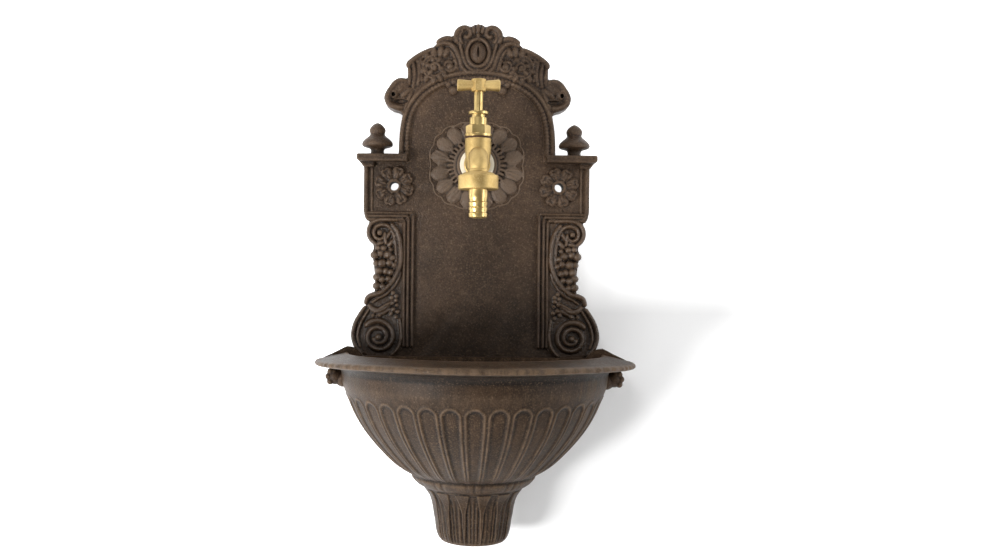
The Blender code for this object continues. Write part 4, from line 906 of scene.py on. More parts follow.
console = {
    "upper": (99.8, -49.0), "lower": (99.6, -155.8), "voxel": 0.55, "rise": 1.9,
    "sRib": [(88.4, -38.6), (82.4, -45.5), (78.8, -56), (77.6, -68), (77.6, -78), (80.4, -88), (85.2, -97.6),
             (91.6, -105.2), (98.6, -110.6), (106.2, -112.6), (111.4, -115.6), (113.8, -122.8)],
    "upperBand": [(80, -35.0), (88, -34.8), (99, -35.0), (106.8, -38.2), (110.6, -44.4), (110.4, -51.8),
                  (106.4, -57.8), (100.6, -60.8)],
    "upperCurl": [(87.0, -45.6), (91.2, -41.4), (97.4, -40.2), (103.0, -42.4), (105.4, -47.6), (103.8, -53.0),
                  (99.0, -55.2), (94.8, -52.6), (94.6, -48.4)],
    "grapes": [(104.6, -71.6, 4.3), (98.2, -69.8, 3.9), (91.4, -71.4, 4.1), (85.4, -73.6, 3.6),
               (102.8, -80.6, 4.0), (96.2, -79.4, 4.1), (89.4, -79.4, 3.9), (83.9, -81.6, 3.2),
               (99.6, -87.6, 3.9), (93.2, -88.4, 4.0), (87.4, -88.6, 3.6), (102.4, -94.8, 3.9),
               (96.2, -96.2, 3.9), (90.4, -96.4, 3.3), (102.0, -103.2, 3.9), (96.0, -103.6, 3.6),
               (101.4, -64.4, 3.0), (94.8, -64.0, 3.0), (88.6, -66.4, 2.8)],
    "berries": [(84.8, -110.4, 2.3), (81.6, -113.6, 2.2), (86.2, -115.2, 2.3), (82.0, -118.0, 2.2),
                (85.6, -121.0, 2.2), (80.8, -123.0, 1.9), (84.6, -127.4, 2.3), (80.0, -129.8, 2.1),
                (87.0, -131.8, 2.2), (81.6, -135.2, 2.0), (98.6, -133.4, 1.9), (105.6, -133.8, 1.8)],
}


def makeConsole():
    bm = bmesh.new()
    rise = console["rise"]
    ground = ([(75, -38)] + [(x - 1.2, z) for x, z in finer(plate["consoleLine"])]
              + [(110, -176), (84, -176), (75, -168)])
    slab(bm, ground, fieldOut - 2, fieldOut + 1.2)
    # upper volute, with its lead-in from the architrave
    strand(bm, console["upperBand"], [1.7, 2.3, 2.6, 2.7, 2.7, 2.6, 2.4, 1.7], rise, fieldOut + 0.6)
    strand(bm, console["upperCurl"], [1.8, 2.3, 2.5, 2.5, 2.4, 2.3, 2.2, 2.0, 1.8], rise, fieldOut + 1.6)
    x0, z0 = console["upper"]
    knob(bm, (x0 - 0.4, fieldOut + 4.4, z0 + 0.4), 2.7)
    # S-rib: two ridges side by side
    strand(bm, console["sRib"], [2.0, 2.6, 2.8, 2.8, 2.8, 2.8, 2.9, 3.0, 3.1, 3.0, 2.7, 2.1], rise * 0.85,
           fieldOut + 1.6)
    second = [(x + 4.6, z - 0.4) for x, z in console["sRib"][0:6]]
    strand(bm, second, [1.6, 2.1, 2.3, 2.3, 2.1, 1.4], rise * 0.85, fieldOut + 1.2)
    strand(bm, [(77.0, -88), (80.2, -97), (85.4, -105.4), (92.8, -112.2), (100.8, -116.4), (107.2, -120.8)],
           [1.2, 1.7, 1.9, 1.9, 1.7, 1.2], rise, fieldOut + 0.8)
    for k, (x, z, radius) in enumerate(console["grapes"]):
        shift = 0.5 * math.sin(2.7 * k)
        size = radius * (1 + 0.09 * math.sin(4.1 * k))
        knob(bm, (x + shift, fieldOut + 2.3 + shift, z - shift), size, (1.06, 1.2, 0.98))
    # stalk and small leaves under the volute
    strand(bm, [(94.4, -47.5), (93.6, -55), (92.6, -61)], [1.6, 2.1, 1.5], rise, fieldOut + 1.8)
    for x, z, length, width, angle in ((87.6, -58.8, 6.6, 2.9, -48), (90.6, -51.2, 5.6, 2.3, -66),
                                       (99.0, -59.2, 5.4, 2.4, -12), (83.6, -51.6, 6.0, 1.8, -68)):
        petal(bm, (x, z), length, width, 4.4, angle, fieldOut + 0.6)
    # leaf between the S-rib and the lower volute
    strand(bm, [(110.6, -122), (105.6, -127.4), (98, -128.4), (89.8, -123.4), (84.6, -116.6)],
           [2.0, 3.2, 3.6, 3.0, 1.8], 1.3, fieldOut + 0.8)
    strand(bm, [(104.8, -131.4), (98, -126.2), (90, -121.6), (84.0, -119.6)], [1.0, 1.5, 1.5, 1.0], rise,
           fieldOut + 2.4)
    strand(bm, [(103.6, -134.8), (95.8, -131.6), (87.6, -127.8), (79.4, -131.2)], [1.4, 2.3, 2.5, 1.6], 1.5,
           fieldOut + 0.8)
    for x, z, radius in console["berries"]:
        knob(bm, (x, fieldOut + 3.0, z), radius)
    # lower volute and the leaf rim round it
    spiral = scroll(console["lower"], 17.4, 4.6, 35, 1.9, 56)
    strand(bm, spiral, [2.6, 3.3, 3.6, 3.6, 3.4, 3.2, 3.0, 2.6], rise * 0.75, fieldOut + 1.2)
    x0, z0 = console["lower"]
    knob(bm, (x0, fieldOut + 3.2, z0 - 0.4), 3.4, (1, 1.5, 1))
    rim = [(113.6, -124.4), (118.8, -132.6), (123.8, -142.4), (126.2, -154.6), (123.0, -166.0),
           (116.0, -174.2)]
    strand(bm, rim, [1.8, 2.3, 2.5, 2.5, 2.4, 1.8], rise * 0.8, fieldOut + 0.8)
    strand(bm, [(x - 5.0, z - 1.4) for x, z in rim[:5]], [1.2, 1.7, 1.8, 1.7, 1.2], rise, fieldOut + 1.0)
    strand(bm, [(78.6, -136), (76.8, -146), (76.6, -157), (79.6, -167.4), (86.6, -175)],
           [1.4, 2.0, 2.2, 2.2, 1.8],
           rise * 0.9, fieldOut + 1.0)
    right = castOnPlate(bm, "rightConsole", "console", console["voxel"], 2)
    left = mirroredPiece(right, "leftConsole")
    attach(left, "castings")
    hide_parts("back_plate")


makePlate()
print("plate done")
makeShell()
makeArch()
makeCrest()
print("crest, arch and shell done")
for side in (-1, 1):
    makePier(side)
makeArchitraves()
makeConsole()
print("piers and consoles done")


# Basin: a half turn, with the flutes pressed into its outside

basin = {
    "backOut": 20.3, "wall": 6.0, "rimZ": -165.0, "lipRadius": 164.2, "lipDrop": 6.6, "lipSag": 6.4,
    "floor": -285.0, "floorWall": 8.0, "floorRadius": 58, "steps": 420,
    "flutes": 18, "fluteTurn": -0.6, "fluteTop": -212.5, "fluteFoot": -291.0, "fluteShare": 0.8,
    "border": 0.85, "borderWidth": 1.1, "recess": 0.8, "beads": 74, "beadHeight": 1.3,
    "outside": [(141, -183.5), (137.6, -188.5), (135.5, -203), (130.5, -215.5), (124, -230.5), (115, -246),
                (103, -261.5), (90, -275.5), (79, -285.4), (71, -290.8), (66.6, -293.4)],
    "inside": [(129.6, -171.0), (129.6, -178), (129.5, -201), (124.5, -213.5), (118, -228), (109, -243),
               (97, -257.5), (82.5, -270.5), (66, -280), (48, -285)],
    "backTop": -175.5, "wasteOut": 43.5, "wasteHole": 21.6,
}


def basinSection():
    edge = basin["rimZ"] - basin["lipDrop"]
    lip = basin["lipRadius"]
    crown = [(129.9, -169.6), (131.6, -168.6), (136, -168.9), (147, -170.0), (lip - 8, edge + 0.1),
             (lip - 3, edge - 0.9), (lip - 0.6, edge - 2.2), (lip, edge - 4.2), (lip - 1.4, edge - 6.2),
             (lip - 6, edge - 7.2), (150, edge - 8.4)]
    return finer(basin["inside"][::-1], 3.5) + finer(crown, 1.2) + finer(basin["outside"], 1.15)


def flutePress(angle, radius, z):
    # how far the outside stands proud at this place
    pitch = math.pi / basin["flutes"]
    turned = math.radians(basin["fluteTurn"])
    nearest = round((angle - turned) / pitch) * pitch + turned
    if abs(nearest) > math.radians(86):
        return 0.0
    along = (angle - nearest) * radius
    half = radius * pitch / 2 * basin["fluteShare"]
    headRadius = 131 * pitch / 2 * basin["fluteShare"]
    headZ = basin["fluteTop"] - headRadius
    if z > headZ:
        off = math.hypot(along, z - headZ) - headRadius
    else:
        off = abs(along) - half
    foot = min(1.0, max(0.0, (z - basin["fluteFoot"]) / 8))
    border = basin["border"] * math.exp(-(off / basin["borderWidth"]) ** 2)
    inside = basin["recess"] * min(1.0, max(0.0, (-off - 0.6) / 2.6))
    return (border - inside) * (0.35 + 0.65 * foot)


def lipBeads(angle, radius, z):
    # uneven cast beads round the edge of the lip
    edge = basin["rimZ"] - basin["lipDrop"]
    near = math.exp(-((z - (edge - 3.4)) / 2.4) ** 2) if radius > basin["lipRadius"] - 8 else 0
    wander = angle + 0.006 * math.sin(23 * angle) + 0.004 * math.sin(41 * angle + 1.0)
    size = 0.75 + 0.25 * math.sin(17 * angle + 0.6)
    return near * basin["beadHeight"] * size * (math.cos(wander * basin["beads"]) * 0.5 - 0.5)


def halfTurn(section, steps, axisOut):
    # spins (radius, z) about the upright axis, from the right-hand side round the front to the left
    bm = bmesh.new()
    axis = at(0, axisOut, 0)
    verts = [bm.verts.new(axis + Vector((radius, 0, z))) for radius, z in section]
    edges = [bm.edges.new(pair) for pair in zip(verts, verts[1:])]
    bmesh.ops.spin(bm, geom=verts + edges, cent=axis, axis=(0, 0, 1), angle=-math.pi, steps=steps,
                   use_merge=False)
    return bm


def makeBasin():
    bm = halfTurn(basinSection(), basin["steps"], basin["backOut"])
    axis = at(0, basin["backOut"], 0)
    lowest = basin["outside"][-1][1]
    outerZ, outerR = [-z for _, z in basin["outside"]], [r for r, _ in basin["outside"]]
    for vert in bm.verts:
        arm = vert.co - axis
        radius = math.hypot(arm.x, arm.y)
        angle = math.atan2(arm.x, -arm.y)
        z = vert.co.z
        wallHere = np.interp(-z, outerZ, outerR)
        if lowest <= z < basin["fluteTop"] + 8 and radius > wallHere - 3.4:
            push = flutePress(angle, radius, z)
            steep = float(np.interp(-z, [205, 290], [0.15, 0.75]))
            vert.co += (Vector((arm.x, arm.y, 0)).normalized() * (1 - 0.4 * steep) + Vector((0, 0,
                                                                                             -steep))) * push
        elif radius > 132 and z > -190:
            if radius > basin["lipRadius"] - 8:
                vert.co += Vector((arm.x, arm.y, 0)).normalized() * lipBeads(angle, radius, z)
        if radius > 127 and z > -190:
            share = 0.5 * min(1.0, (z + 190) / 18) + 0.5 * min(1.0, max(0.0, (radius - 132) / 26))
            vert.co.z -= basin["lipSag"] * math.sin(angle) ** 4 * share
    bmesh.ops.recalc_face_normals(bm, faces=bm.faces)
    piece = looseObject(bm, "basinBowl")
    return finishPiece(piece, finishes["basin_iron"], *onBasin)


def makeBasinBack():
    bm = bmesh.new()
    near, far = basin["backOut"], basin["backOut"] + basin["wall"]
    inner = [(x, z) for x, z in basin["outside"][1:] if z < -189]
    corner = [(139, -188), (150, -184.6), (158, -184.8), (161.4, -182), (160.4, -180), (154, -176.4),
              (144, -171.8), (136, -167.6), (132, -165.8), (127, -166.4), (121, -168.8), (117, -172.4),
              (115, basin["backTop"])]
    half = [(0, basin["backTop"])] + corner[::-1] + [(x - 0.8, z + 0.6) for x, z in inner] + [(0, -293.4)]
    slab(bm, bothHalves(half), near, far)
    reach, low = basin["floorRadius"], basin["floor"] - basin["floorWall"]
    floor = [at(reach * math.cos(a), near + reach * math.sin(a), low) for a in np.linspace(0, math.pi, 33)]
    piece = looseObject(bm, "basinBack")
    carve(piece, thicken(floor, (0, 0, basin["floorWall"])), "UNION")
    holes = bmesh.new()
    for x, z in plate["boltPlaces"]:
        rod(holes, plate["boltHole"] / 2, x, z, near - 1, far + 1)
    carve(piece, holes)
    waste = bmesh.new()
    bmesh.ops.create_cone(waste, cap_ends=True, segments=64, radius1=basin["wasteHole"] / 2,
                          radius2=basin["wasteHole"] / 2, depth=40,
                          matrix=Matrix.Translation(at(0, basin["wasteOut"], basin["floor"])))
    carve(piece, waste)
    return finishPiece(piece, finishes["basin_iron"], *onBasin, sharp=40, relief=False)


# Foot: notched collar, hanging darts and lancet leaves

foot = {
    "steps": 300, "notches": 38, "notchDepth": 1.1, "dartPitch": 24.6, "firstDart": 11.1, "ribs": 2.7,
        "plainFrom": 58,
    "outside": [(66.6, -293.4), (64.7, -294.0), (64.1, -295.4), (64.0, -298.0), (61.2, -301.6),
                (57.8, -304.6), (54.6, -306.2), (52.4, -307.6), (50.4, -310.6), (48.2, -313.6), (46.0, -317),
                (44.2, -321), (42.8, -326), (41.8, -331), (40.9, -337), (39.7, -343), (38.8, -350),
                (37.5, -356), (35.8, -360.4), (33.6, -363.2)],
    "inside": [(28.6, -363.2), (32.6, -345.5), (35, -330), (38, -315.5), (45, -305), (45, -299), (43, -293)],
}


def footPress(angle, z):
    if -305.4 < z < -295.0:  # short upright pits in the collar
        wander = angle * foot["notches"] + 1.5 * math.sin(9 * angle)
        depth = foot["notchDepth"] * (0.5 + 0.5 * math.sin(11 * angle + 1.2))
        return -depth * (0.5 + 0.5 * math.cos(wander)) ** 2 * (1 - abs((z + 300.2) / 5.2) ** 4)
    if z > -309:
        return 0.0
    pitch = math.radians(foot["dartPitch"])
    phase = ((angle - math.radians(foot["firstDart"])) / pitch + 0.5) % 1.0
    down = (-309 - z) / 54  # 0 under the collar, 1 at the foot
    off = abs(phase - 0.5) * 2  # 0 at a dart's middle, 1 between two
    # a hanging triangle that runs out into a stalk
    half = max(0.66 * (1 - down / 0.55), 0.2 * (1 - max(0.0, down - 0.6) / 0.4))
    inside = min(1.0, max(0.0, (half - off) / 0.12 + 0.5))
    edge = math.exp(-((off - half) / 0.09) ** 2)
    # upright ribs of the leaves between the triangles
    ribs = 0.5 + 0.5 * math.cos(math.tau * foot["ribs"] * (phase - 0.5) * 1.5 + 1.3 * math.sin(11 * angle))
    leaf = 0.85 * ribs * min(1.0, max(0.0, (down - 0.05) / 0.2)) * min(1.0, (1 - down) / 0.12)
    press = 0.9 * inside + 0.3 * edge + (1 - inside) * (leaf - 1.1)
    away = abs(math.degrees(angle)) - foot["plainFrom"]
    return press * min(1.0, max(0.0, 1 - away / 8)) * min(1.0, max(0.0, (1.02 - down) / 0.1))


def makeFoot():
    bm = halfTurn(finer(foot["outside"], 0.75) + finer(foot["inside"], 3.0), foot["steps"], basin["backOut"])
    axis = at(0, basin["backOut"], 0)
    outerZ, outerR = [-z for _, z in foot["outside"]], [r for r, _ in foot["outside"]]
    for vert in bm.verts:
        arm = vert.co - axis
        arm.z = 0
        z = vert.co.z
        if arm.length > np.interp(-z, outerZ, outerR) - 2.5 and z > -362.5:
            vert.co += arm.normalized() * footPress(math.atan2(arm.x, -arm.y), z)
    bmesh.ops.recalc_face_normals(bm, faces=bm.faces)
    back = bmesh.new()
    half = [(0, -292)] + [(r - 0.8, z) for r, z in foot["outside"]] + [(0, -363.2)]
    slab(back, bothHalves(half), basin["backOut"], basin["backOut"] + basin["wall"])
    addSmall(bm, back)
    piece = looseObject(bm, "basinFoot")
    return finishPiece(piece, finishes["basin_iron"], *onBasin)


# Cast lumps at the ends of the lip

ears = {"x": 142.6, "out": 31.5, "z": -196.0, "radius": 8.6, "voxel": 0.6}


def makeEars():
    for side, name in ((-1, "leftEar"), (1, "rightEar")):
        bm = bmesh.new()
        knob(bm, (side * ears["x"], ears["out"], ears["z"]), ears["radius"])
        knob(bm, (side * (ears["x"] - 8), ears["out"], ears["z"] - 2.5), ears["radius"])
        knob(bm, (side * (ears["x"] - 4), ears["out"] - 2, ears["z"] + 9), ears["radius"] * 0.8)
        for k in range(5):
            angle = math.radians(-60 + 62 * k)
            knob(bm, (side * (ears["x"] + 3.0 + 3.4 * math.cos(angle)), ears["out"] + 4.2,
                      ears["z"] + 5.6 * math.sin(angle)), 3.6)
        piece = looseObject(bm, name)
        fuse(piece, ears["voxel"], 2)
        finishPiece(piece, finishes["ear"], *onBasin)


makeBasin()
makeBasinBack()
makeFoot()
makeEars()
print("basin and foot done")


# Tap: cast body with its spout, turned headwork, T handle, union nut and hose tail

tap = {
    "z": 22.0, "spindleOut": 72.0, "spoutOut": 104.0, "voxel": 0.45,
    "shoulder": 13.5, "inlet": 12.0, "tail": 10.4, "inletBore": 5.5, "chamberBore": 9.5, "spoutBore": 5.5,
    "chamber": [(0, 5.6), (5.6, 6.4), (8.8, 9.4), (10.6, 15), (11.8, 22), (12.6, 29), (12.9, 35)],
    # how far out from the spindle, how far over the inlet's middle, and the radius there
    "spout": [(0, -2, 9.3), (10, 1.6, 9.4), (20, 1.0, 9.3), (28, -4.6, 9.2), (31.4, -11, 9.15),
              (32, -17, 9.15)],
    "washerBore": 10.75,
}


def spunPiece(name, profile, centre, material, slotName, body, nodes, sharp=32, steps=96, sculpt=None):
    bm = bmesh.new()
    turn(bm, profile, centre, steps)
    if sculpt:
        sculpt(bm)
    piece = looseObject(bm, name)
    return finishPiece(piece, finishes[material], body, slotName, nodes, sharp=sharp, relief=False)


def rounded(profile, radius, segments=4):
    # the corners of a (radius, z) profile, rounded
    made = [profile[0]]
    for i in range(1, len(profile) - 1):
        corner = Vector(profile[i])
        before, after = Vector(profile[i - 1]), Vector(profile[i + 1])
        reach = min(radius, (before - corner).length * 0.45, (after - corner).length * 0.45)
        start = corner + (before - corner).normalized() * reach
        end = corner + (after - corner).normalized() * reach
        for step in range(segments + 1):
            t = step / segments
            point = start * (1 - t) ** 2 + corner * 2 * t * (1 - t) + end * t * t
            made.append((point.x, point.y))
    return made + [profile[-1]]


def makeTapBody():
    bm = bmesh.new()
    xSpan, outSpan, zSpan = cadSpan("tap_body")
    axisOut, z = tap["spindleOut"], tap["z"]
    top = zSpan[1] - 0.1
    turn(bm, tap["chamber"] + [(tap["chamber"][-1][0], top), (0, top)], (0, axisOut), 72)
    # inlet with its shoulder against the washer
    inlet = bmesh.new()
    rod(inlet, tap["shoulder"], 0, z, 32.6, 37.2, 72)
    rod(inlet, tap["inlet"], 0, z, 36, axisOut, 72)
    addSmall(bm, inlet)
    spoutLine = [(0, axisOut + out, z + over) for out, over, _ in tap["spout"]]
    strand(bm, spoutLine, [radius for _, _, radius in tap["spout"]], 1.0, sides=32, spacing=1.6)
    mouth = tap["spout"][-1][2]
    turn(bm, [(0, 2), (mouth, 2), (mouth, 10), (0, 10)], (0, tap["spoutOut"]), 64)
    piece = looseObject(bm, "tapBody")
    fuse(piece, tap["voxel"], 4)
    outlet = bmesh.new()
    flange = [(0, 7.2), (13, 7.2), (16.2, 5.2), (16.4, 3.0), (16.4, -2), (0, -2)]
    turn(outlet, rounded(flange, 0.6), (0, tap["spoutOut"]), 72)
    carve(piece, outlet, "UNION")
    tail = bmesh.new()
    rod(tail, tap["tail"], 0, z, outSpan[0], 34, 64)
    carve(piece, tail, "UNION")
    bore = bmesh.new()
    rod(bore, tap["inletBore"], 0, z, -5, axisOut - 6, 40)
    carve(piece, bore)
    chamber = bmesh.new()
    wide, over = tap["chamberBore"], zSpan[1] + 3
    turn(chamber, [(0, z), (wide, z), (wide, over), (0, over)], (0, axisOut), 64)
    carve(piece, chamber)
    way = bmesh.new()
    wide = tap["spoutBore"]
    turn(way, [(0, -4), (wide, -4), (wide, 6), (0, 6)], (0, tap["spoutOut"]), 40)
    carve(piece, way)
    return finishPiece(piece, finishes["brass"], "castings", "brass", ["tap_body"], sharp=40, relief=False)


def makeWallWasher():
    xSpan, outSpan, zSpan = cadSpan("wall_washer")
    bm = bmesh.new()
    rod(bm, (xSpan[1] - xSpan[0]) / 2, 0, tap["z"], outSpan[0], outSpan[1], 96)
    piece = looseObject(bm, "wallWasher")
    roundEdges(piece, 0.5)
    hole = bmesh.new()
    rod(hole, tap["washerBore"], 0, tap["z"], outSpan[0] - 3, outSpan[1] + 3, 72)
    carve(piece, hole)
    return finishPiece(piece, finishes["cream_nylon"], "castings", "cream_nylon", ["wall_washer"], sharp=35,
                       relief=False)


def hexPrism(bm, across, low, high, centre, sides=6, chamfer=0.9):
    # spanner flats whose corners are turned back at both ends
    small = bmesh.new()
    radius = across / 2 / math.cos(math.pi / sides)
    matrix = Matrix.Translation(at(centre[0], centre[1],
                                   (low + high) / 2)) @ Matrix.Rotation(math.pi / sides, 4, "Z")
    bmesh.ops.create_cone(small, cap_ends=True, segments=sides, radius1=radius, radius2=radius,
                          depth=high - low, matrix=matrix)
    piece = looseObject(small, "flats")
    limit = bmesh.new()
    turn(limit, [(0, low - 0.01), (across / 2 - 0.1, low - 0.01), (radius + 0.05, low + chamfer),
                 (radius + 0.05, high - chamfer), (across / 2 - 0.1, high + 0.01), (0, high + 0.01)], centre,
         96)
    carve(piece, limit, "INTERSECT")
    bm.from_mesh(piece.data)
    bpy.data.objects.remove(piece)


bonnet = {"collar": 26.6, "collarHeight": 2.9, "flats": 21.0, "flatsHeight": 8.4, "neck": 17.3}


def makeBonnet():
    xSpan, outSpan, zSpan = cadSpan("bonnet")
    centre = (0, tap["spindleOut"])
    seat = cadSpan("tap_body")[2][1] + 0.9 + 0.6
    low, high = zSpan
    collarTop = seat + bonnet["collarHeight"]
    flatsTop = collarTop + bonnet["flatsHeight"]
    bm = bmesh.new()
    skirt = 9.2
    turn(bm, rounded([(6.2, low), (skirt, low), (skirt, seat), (bonnet["collar"] / 2, seat),
                      (bonnet["collar"] / 2, collarTop), (10.2, collarTop), (10.2, flatsTop - 0.4),
                      (bonnet["neck"] / 2, flatsTop), (bonnet["neck"] / 2, high), (7.0, high),
                      (7.0, high - 4.6), (4.85, high - 4.6), (4.85, low + 6), (6.2, low + 5)], 0.45), centre)
    hexPrism(bm, bonnet["flats"], collarTop - 0.1, flatsTop, centre)
    piece = looseObject(bm, "bonnet")
    return finishPiece(piece, finishes["turned_brass"], "castings", "turned_brass", ["bonnet"], sharp=30,
                       relief=False)


def makeHeadwork():
    centre = (0, tap["spindleOut"])
    low, high = cadSpan("gland_nut")[2]
    spunPiece("glandNut", rounded([(4.75, low), (6.5, low), (6.5, high - 3.2), (9.85, high - 3.0),
                                   (9.85, high - 0.6), (9.2, high), (4.75, high), (4.75, low)], 0.4), centre,
              "turned_brass", "turned_brass", "castings", ["gland_nut"])
    makeBonnet()
    low, high = cadSpan("spindle")[2]
    threadTop = 42.0
    threads = []
    count = int((threadTop - low - 4) / 1.5)
    for k in range(count):
        z = low + 3 + k * 1.5
        threads += [(5.2, z), (5.95, z + 0.6), (5.95, z + 0.8), (5.2, z + 1.4)]
    profile = [(0, low), (5.0, low), (5.6, low + 1.2)] + threads + [(5.2, threadTop),
                                                                    (4.55, threadTop + 1.5),
                                                                    (4.55, high - 0.6),
                                                                   (3.9, high), (0, high)]
    spunPiece("spindle", profile, centre, "turned_brass", "turned_brass", "spindle_set", ["spindle"])
    makeHandle()


handle = {"length": 42.4, "middle": 9.6, "end": 11.7, "hubAcross": 14.1}


def makeHandle():
    xSpan, outSpan, zSpan = cadSpan("t_handle")
    z = (zSpan[0] + zSpan[1]) / 2
    half = handle["length"] / 2
    out = tap["spindleOut"]
    bm = bmesh.new()
    bar = [(0, -half), (4.4, -half), (5.2, -half + 0.3), (handle["end"] / 2, -half + 1.0),
           (handle["end"] / 2, -half + 2.0), (5.4, -half + 7.0), (4.9, -half + 12),
           (handle["middle"] / 2, -6), (handle["middle"] / 2, 6), (4.9, half - 12), (5.4, half - 7.0),
           (handle["end"] / 2, half - 2.0), (handle["end"] / 2, half - 1.0), (5.2, half - 0.3), (4.4, half),
           (0, half)]
    small = bmesh.new()
    turn(small, bar, (0, 0), 72)
    bmesh.ops.rotate(small, cent=(0, 0, 0), matrix=Matrix.Rotation(math.pi / 2, 3, "Y"), verts=small.verts)
    bmesh.ops.translate(small, vec=at(0, out, z), verts=small.verts)
    addSmall(bm, small)
    hexPrism(bm, handle["hubAcross"], zSpan[0], zSpan[1], (0, out), 8, 0.7)
    piece = looseObject(bm, "tHandle")
    return finishPiece(piece, finishes["brass"], "spindle_set", "brass", ["t_handle"], sharp=30, relief=False)


def makeUnion():
    centre = (0, tap["spoutOut"])
    xSpan, outSpan, zSpan = cadSpan("union_nut")
    low, high = zSpan
    radius = (xSpan[1] - xSpan[0]) / 2
    spunPiece("unionNut", rounded([(17.0, high), (radius - 1.0, high), (radius, high - 0.9),
                                   (radius, low + 0.9), (radius - 1.0, low), (9.8, low), (9.8, low + 3.0),
                                   (17.0, low + 3.0), (17.0, high)], 0.5), centre, "brass", "brass", "nut",
              ["union_nut"])
    low, high = cadSpan("hose_tail")[2]
    flange = (cadSpan("hose_tail")[0][1] - cadSpan("hose_tail")[0][0]) / 2
    outer = [(6.8, low), (8.2, low), (8.9, low + 1.0)]
    step = 5.2
    z = low + 2.4
    for k in range(3):
        outer += [(9.1, z + 1.2), (9.1, z + 1.9), (8.35, z + 2.6), (8.45, z + 3.4)]
        z += step
    outer += [(9.0, z + 1.4), (9.1, z + 3), (9.1, high - 2.0), (flange, high - 2.0), (flange, high),
              (6.8, high), (6.8, low)]
    spunPiece("hoseTail", rounded(outer, 0.35), centre, "turned_brass", "turned_brass", "tail", ["hose_tail"])


makeTapBody()
makeWallWasher()
makeHeadwork()
makeUnion()
print("tap done")

# Every CAD node that still shows gets the finish of its slot
slotOf = {part["node"]: part["material_slot"] for part in frame["record"]["subparts"]}
for nodeName, node in frame["nodes"].items():
    node.data.materials.clear()
    node.data.materials.append(finishes[slotOf[nodeName]])


# Studio: pale floor and wall, soft lamps, and the camera where the photograph was taken from

studio = {
    "camera": (-0.02, -1.074, -0.084), "lens": 36.67, "shift": 0.0437, "pitch": -0.366, "roll": 0.63,
    "wallBehind": 0.004, "floorUnder": 1.0, "bend": 0.3, "reach": 3.5,
    "openingInset": 0.93, "glow": 0.05, "glowTop": (-0.13, -0.025), "glowLeft": (0.05, -0.05),
    "worldLight": 0.3, "worldSeen": 1.0,
    # place, aim, width, height and watts
    "lamps": {
        "keyLamp": ((-1.2, -1.08, -0.62), (0, 0, -0.15), 0.36, 0.36, 25),
        "leftLamp": ((-1.2, -0.6, 0.1), (0, -0.05, -0.15), 0.4, 1.2, 4),
        "rightLamp": ((1.2, -0.6, 0.0), (0, -0.05, -0.15), 0.4, 1.3, 10),
        "topLamp": ((-0.3, -1.3, 1.1), (0, 0, 0), 0.7, 0.7, 10),
    },
}


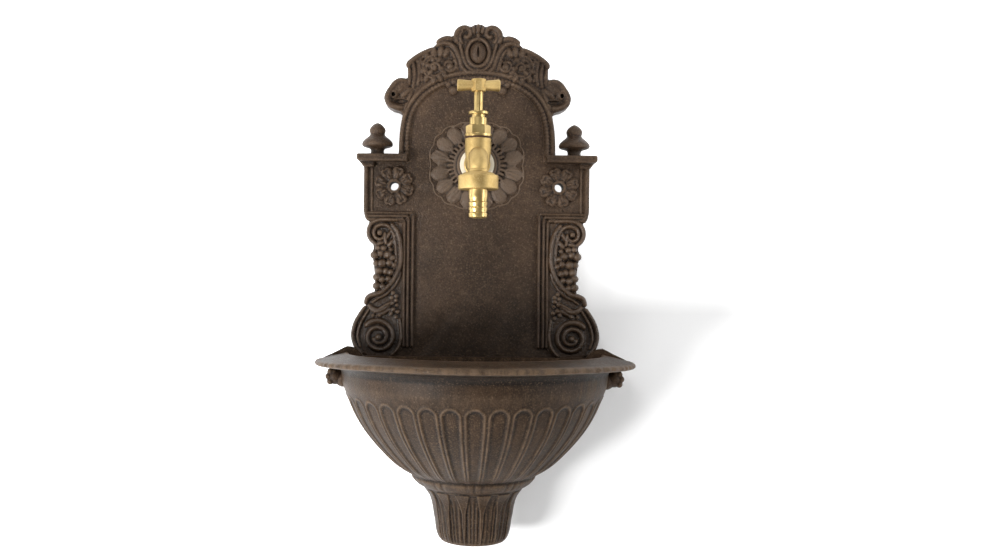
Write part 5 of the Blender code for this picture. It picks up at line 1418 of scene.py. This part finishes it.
def makeBackdrop():
    # floor and bend
    bm = bmesh.new()
    low = cadBounds[0][2] - studio["floorUnder"]
    bend, behind, reach = studio["bend"], studio["wallBehind"], studio["reach"]
    line = [(-reach, low)]
    for k in range(13):
        angle = math.pi / 2 * k / 12
        line.append((behind - bend + bend * math.sin(angle), low + bend - bend * math.cos(angle)))
    verts = [bm.verts.new((-reach, y, z)) for y, z in line]
    edges = [bm.edges.new(pair) for pair in zip(verts, verts[1:])]
    grown = bmesh.ops.extrude_edge_only(bm, edges=edges)
    moved = [item for item in grown["geom"] if isinstance(item, bmesh.types.BMVert)]
    bmesh.ops.translate(bm, vec=(2 * reach, 0, 0), verts=moved)
    # wall, open behind the plate so that its back is seen and lit
    inset = studio["openingInset"]
    opening = [(x * inset * millimetre, z * inset * millimetre) for x, z in bothHalves(plateOutline())]
    corners = [(-reach, low + bend), (reach, low + bend), (reach, low + reach), (-reach, low + reach)]
    rims = []
    for outline in (corners, opening):
        loop = [bm.verts.new((x, behind, z)) for x, z in outline]
        rims += [bm.edges.new((loop[i - 1], loop[i])) for i in range(len(loop))]
    bmesh.ops.triangle_fill(bm, use_beauty=True, use_dissolve=False, edges=rims)
    bm.normal_update()
    for face in bm.faces:
        if face.normal.dot(Vector((0, -1, 1))) < 0:
            face.normal_flip()
    backdrop = looseObject(bm, "backdrop")
    material, tree, shader = newMaterial("backdropWhite")
    shader.inputs["Base Color"].default_value = (0.86, 0.86, 0.86, 1)
    shader.inputs["Roughness"].default_value = 0.9
    path = tree.nodes.new("ShaderNodeLightPath")
    seen = mathOn(tree, "MAXIMUM", path.outputs["Is Camera Ray"], path.outputs["Is Glossy Ray"])
    where = tree.nodes.new("ShaderNodeTexCoord")
    split = tree.nodes.new("ShaderNodeSeparateXYZ")
    tree.links.new(where.outputs["Object"], split.inputs["Vector"])
    # painted light: the wall glows white above and to the left, which hides the shadows that the plate and
    # the right lamp cast there; the basin's soft shadow shows below, to the right
    top = spread(tree, split.outputs["Z"], *studio["glowTop"], studio["glow"], 1)
    left = spread(tree, split.outputs["X"], *studio["glowLeft"], studio["glow"], 1)
    shader.inputs["Emission Color"].default_value = (1, 1, 1, 1)
    white = mathOn(tree, "MULTIPLY", seen, mathOn(tree, "MAXIMUM", top, left))
    tree.links.new(white, shader.inputs["Emission Strength"])
    # a view from behind looks through the wall
    clear = tree.nodes.new("ShaderNodeBsdfTransparent")
    side = tree.nodes.new("ShaderNodeNewGeometry")
    mixer = tree.nodes.new("ShaderNodeMixShader")
    behindIt = mathOn(tree, "MULTIPLY", side.outputs["Backfacing"], path.outputs["Is Camera Ray"])
    tree.links.new(behindIt, mixer.inputs["Fac"])
    tree.links.new(shader.outputs["BSDF"], mixer.inputs[1])
    tree.links.new(clear.outputs["BSDF"], mixer.inputs[2])
    tree.links.new(mixer.outputs["Shader"], tree.nodes["Material Output"].inputs["Surface"])
    backdrop.data.materials.append(material)


def addLamp(name, place, aim, width, height, watts):
    lamp = bpy.data.lights.new(name, "AREA")
    lamp.shape = "RECTANGLE"
    lamp.size = width
    lamp.size_y = height
    lamp.energy = watts
    holder = bpy.data.objects.new(name, lamp)
    holder.location = place
    holder.rotation_euler = (Vector(aim) - Vector(place)).to_track_quat("-Z", "Y").to_euler()
    bpy.context.scene.collection.objects.link(holder)


def makeStudio():
    makeBackdrop()
    world = bpy.data.worlds.new("studio")
    bpy.context.scene.world = world
    world.use_nodes = True
    background = world.node_tree.nodes["Background"]
    background.inputs["Color"].default_value = (1, 1, 1, 1)
    path = world.node_tree.nodes.new("ShaderNodeLightPath")
    level = spread(world.node_tree, path.outputs["Is Camera Ray"], 0, 1, studio["worldLight"],
                   studio["worldSeen"])
    world.node_tree.links.new(level, background.inputs["Strength"])
    for name, values in studio["lamps"].items():
        addLamp(name, *values)
    lens = bpy.data.cameras.new("camera")
    lens.lens = studio["lens"]
    lens.sensor_width = 36
    lens.shift_x = studio["shift"]
    lens.clip_start = 0.01
    camera = bpy.data.objects.new("camera", lens)
    pitch = Matrix.Rotation(math.radians(90 + studio["pitch"]), 4, "X")
    roll = Matrix.Rotation(math.radians(studio["roll"]), 4, "Z")
    camera.matrix_world = Matrix.Translation(studio["camera"]) @ pitch @ roll
    bpy.context.scene.collection.objects.link(camera)
    bpy.context.scene.camera = camera
    bpy.context.scene.view_settings.view_transform = "Standard"


makeStudio()
print("studio ready")

bpy.context.view_layer.update()
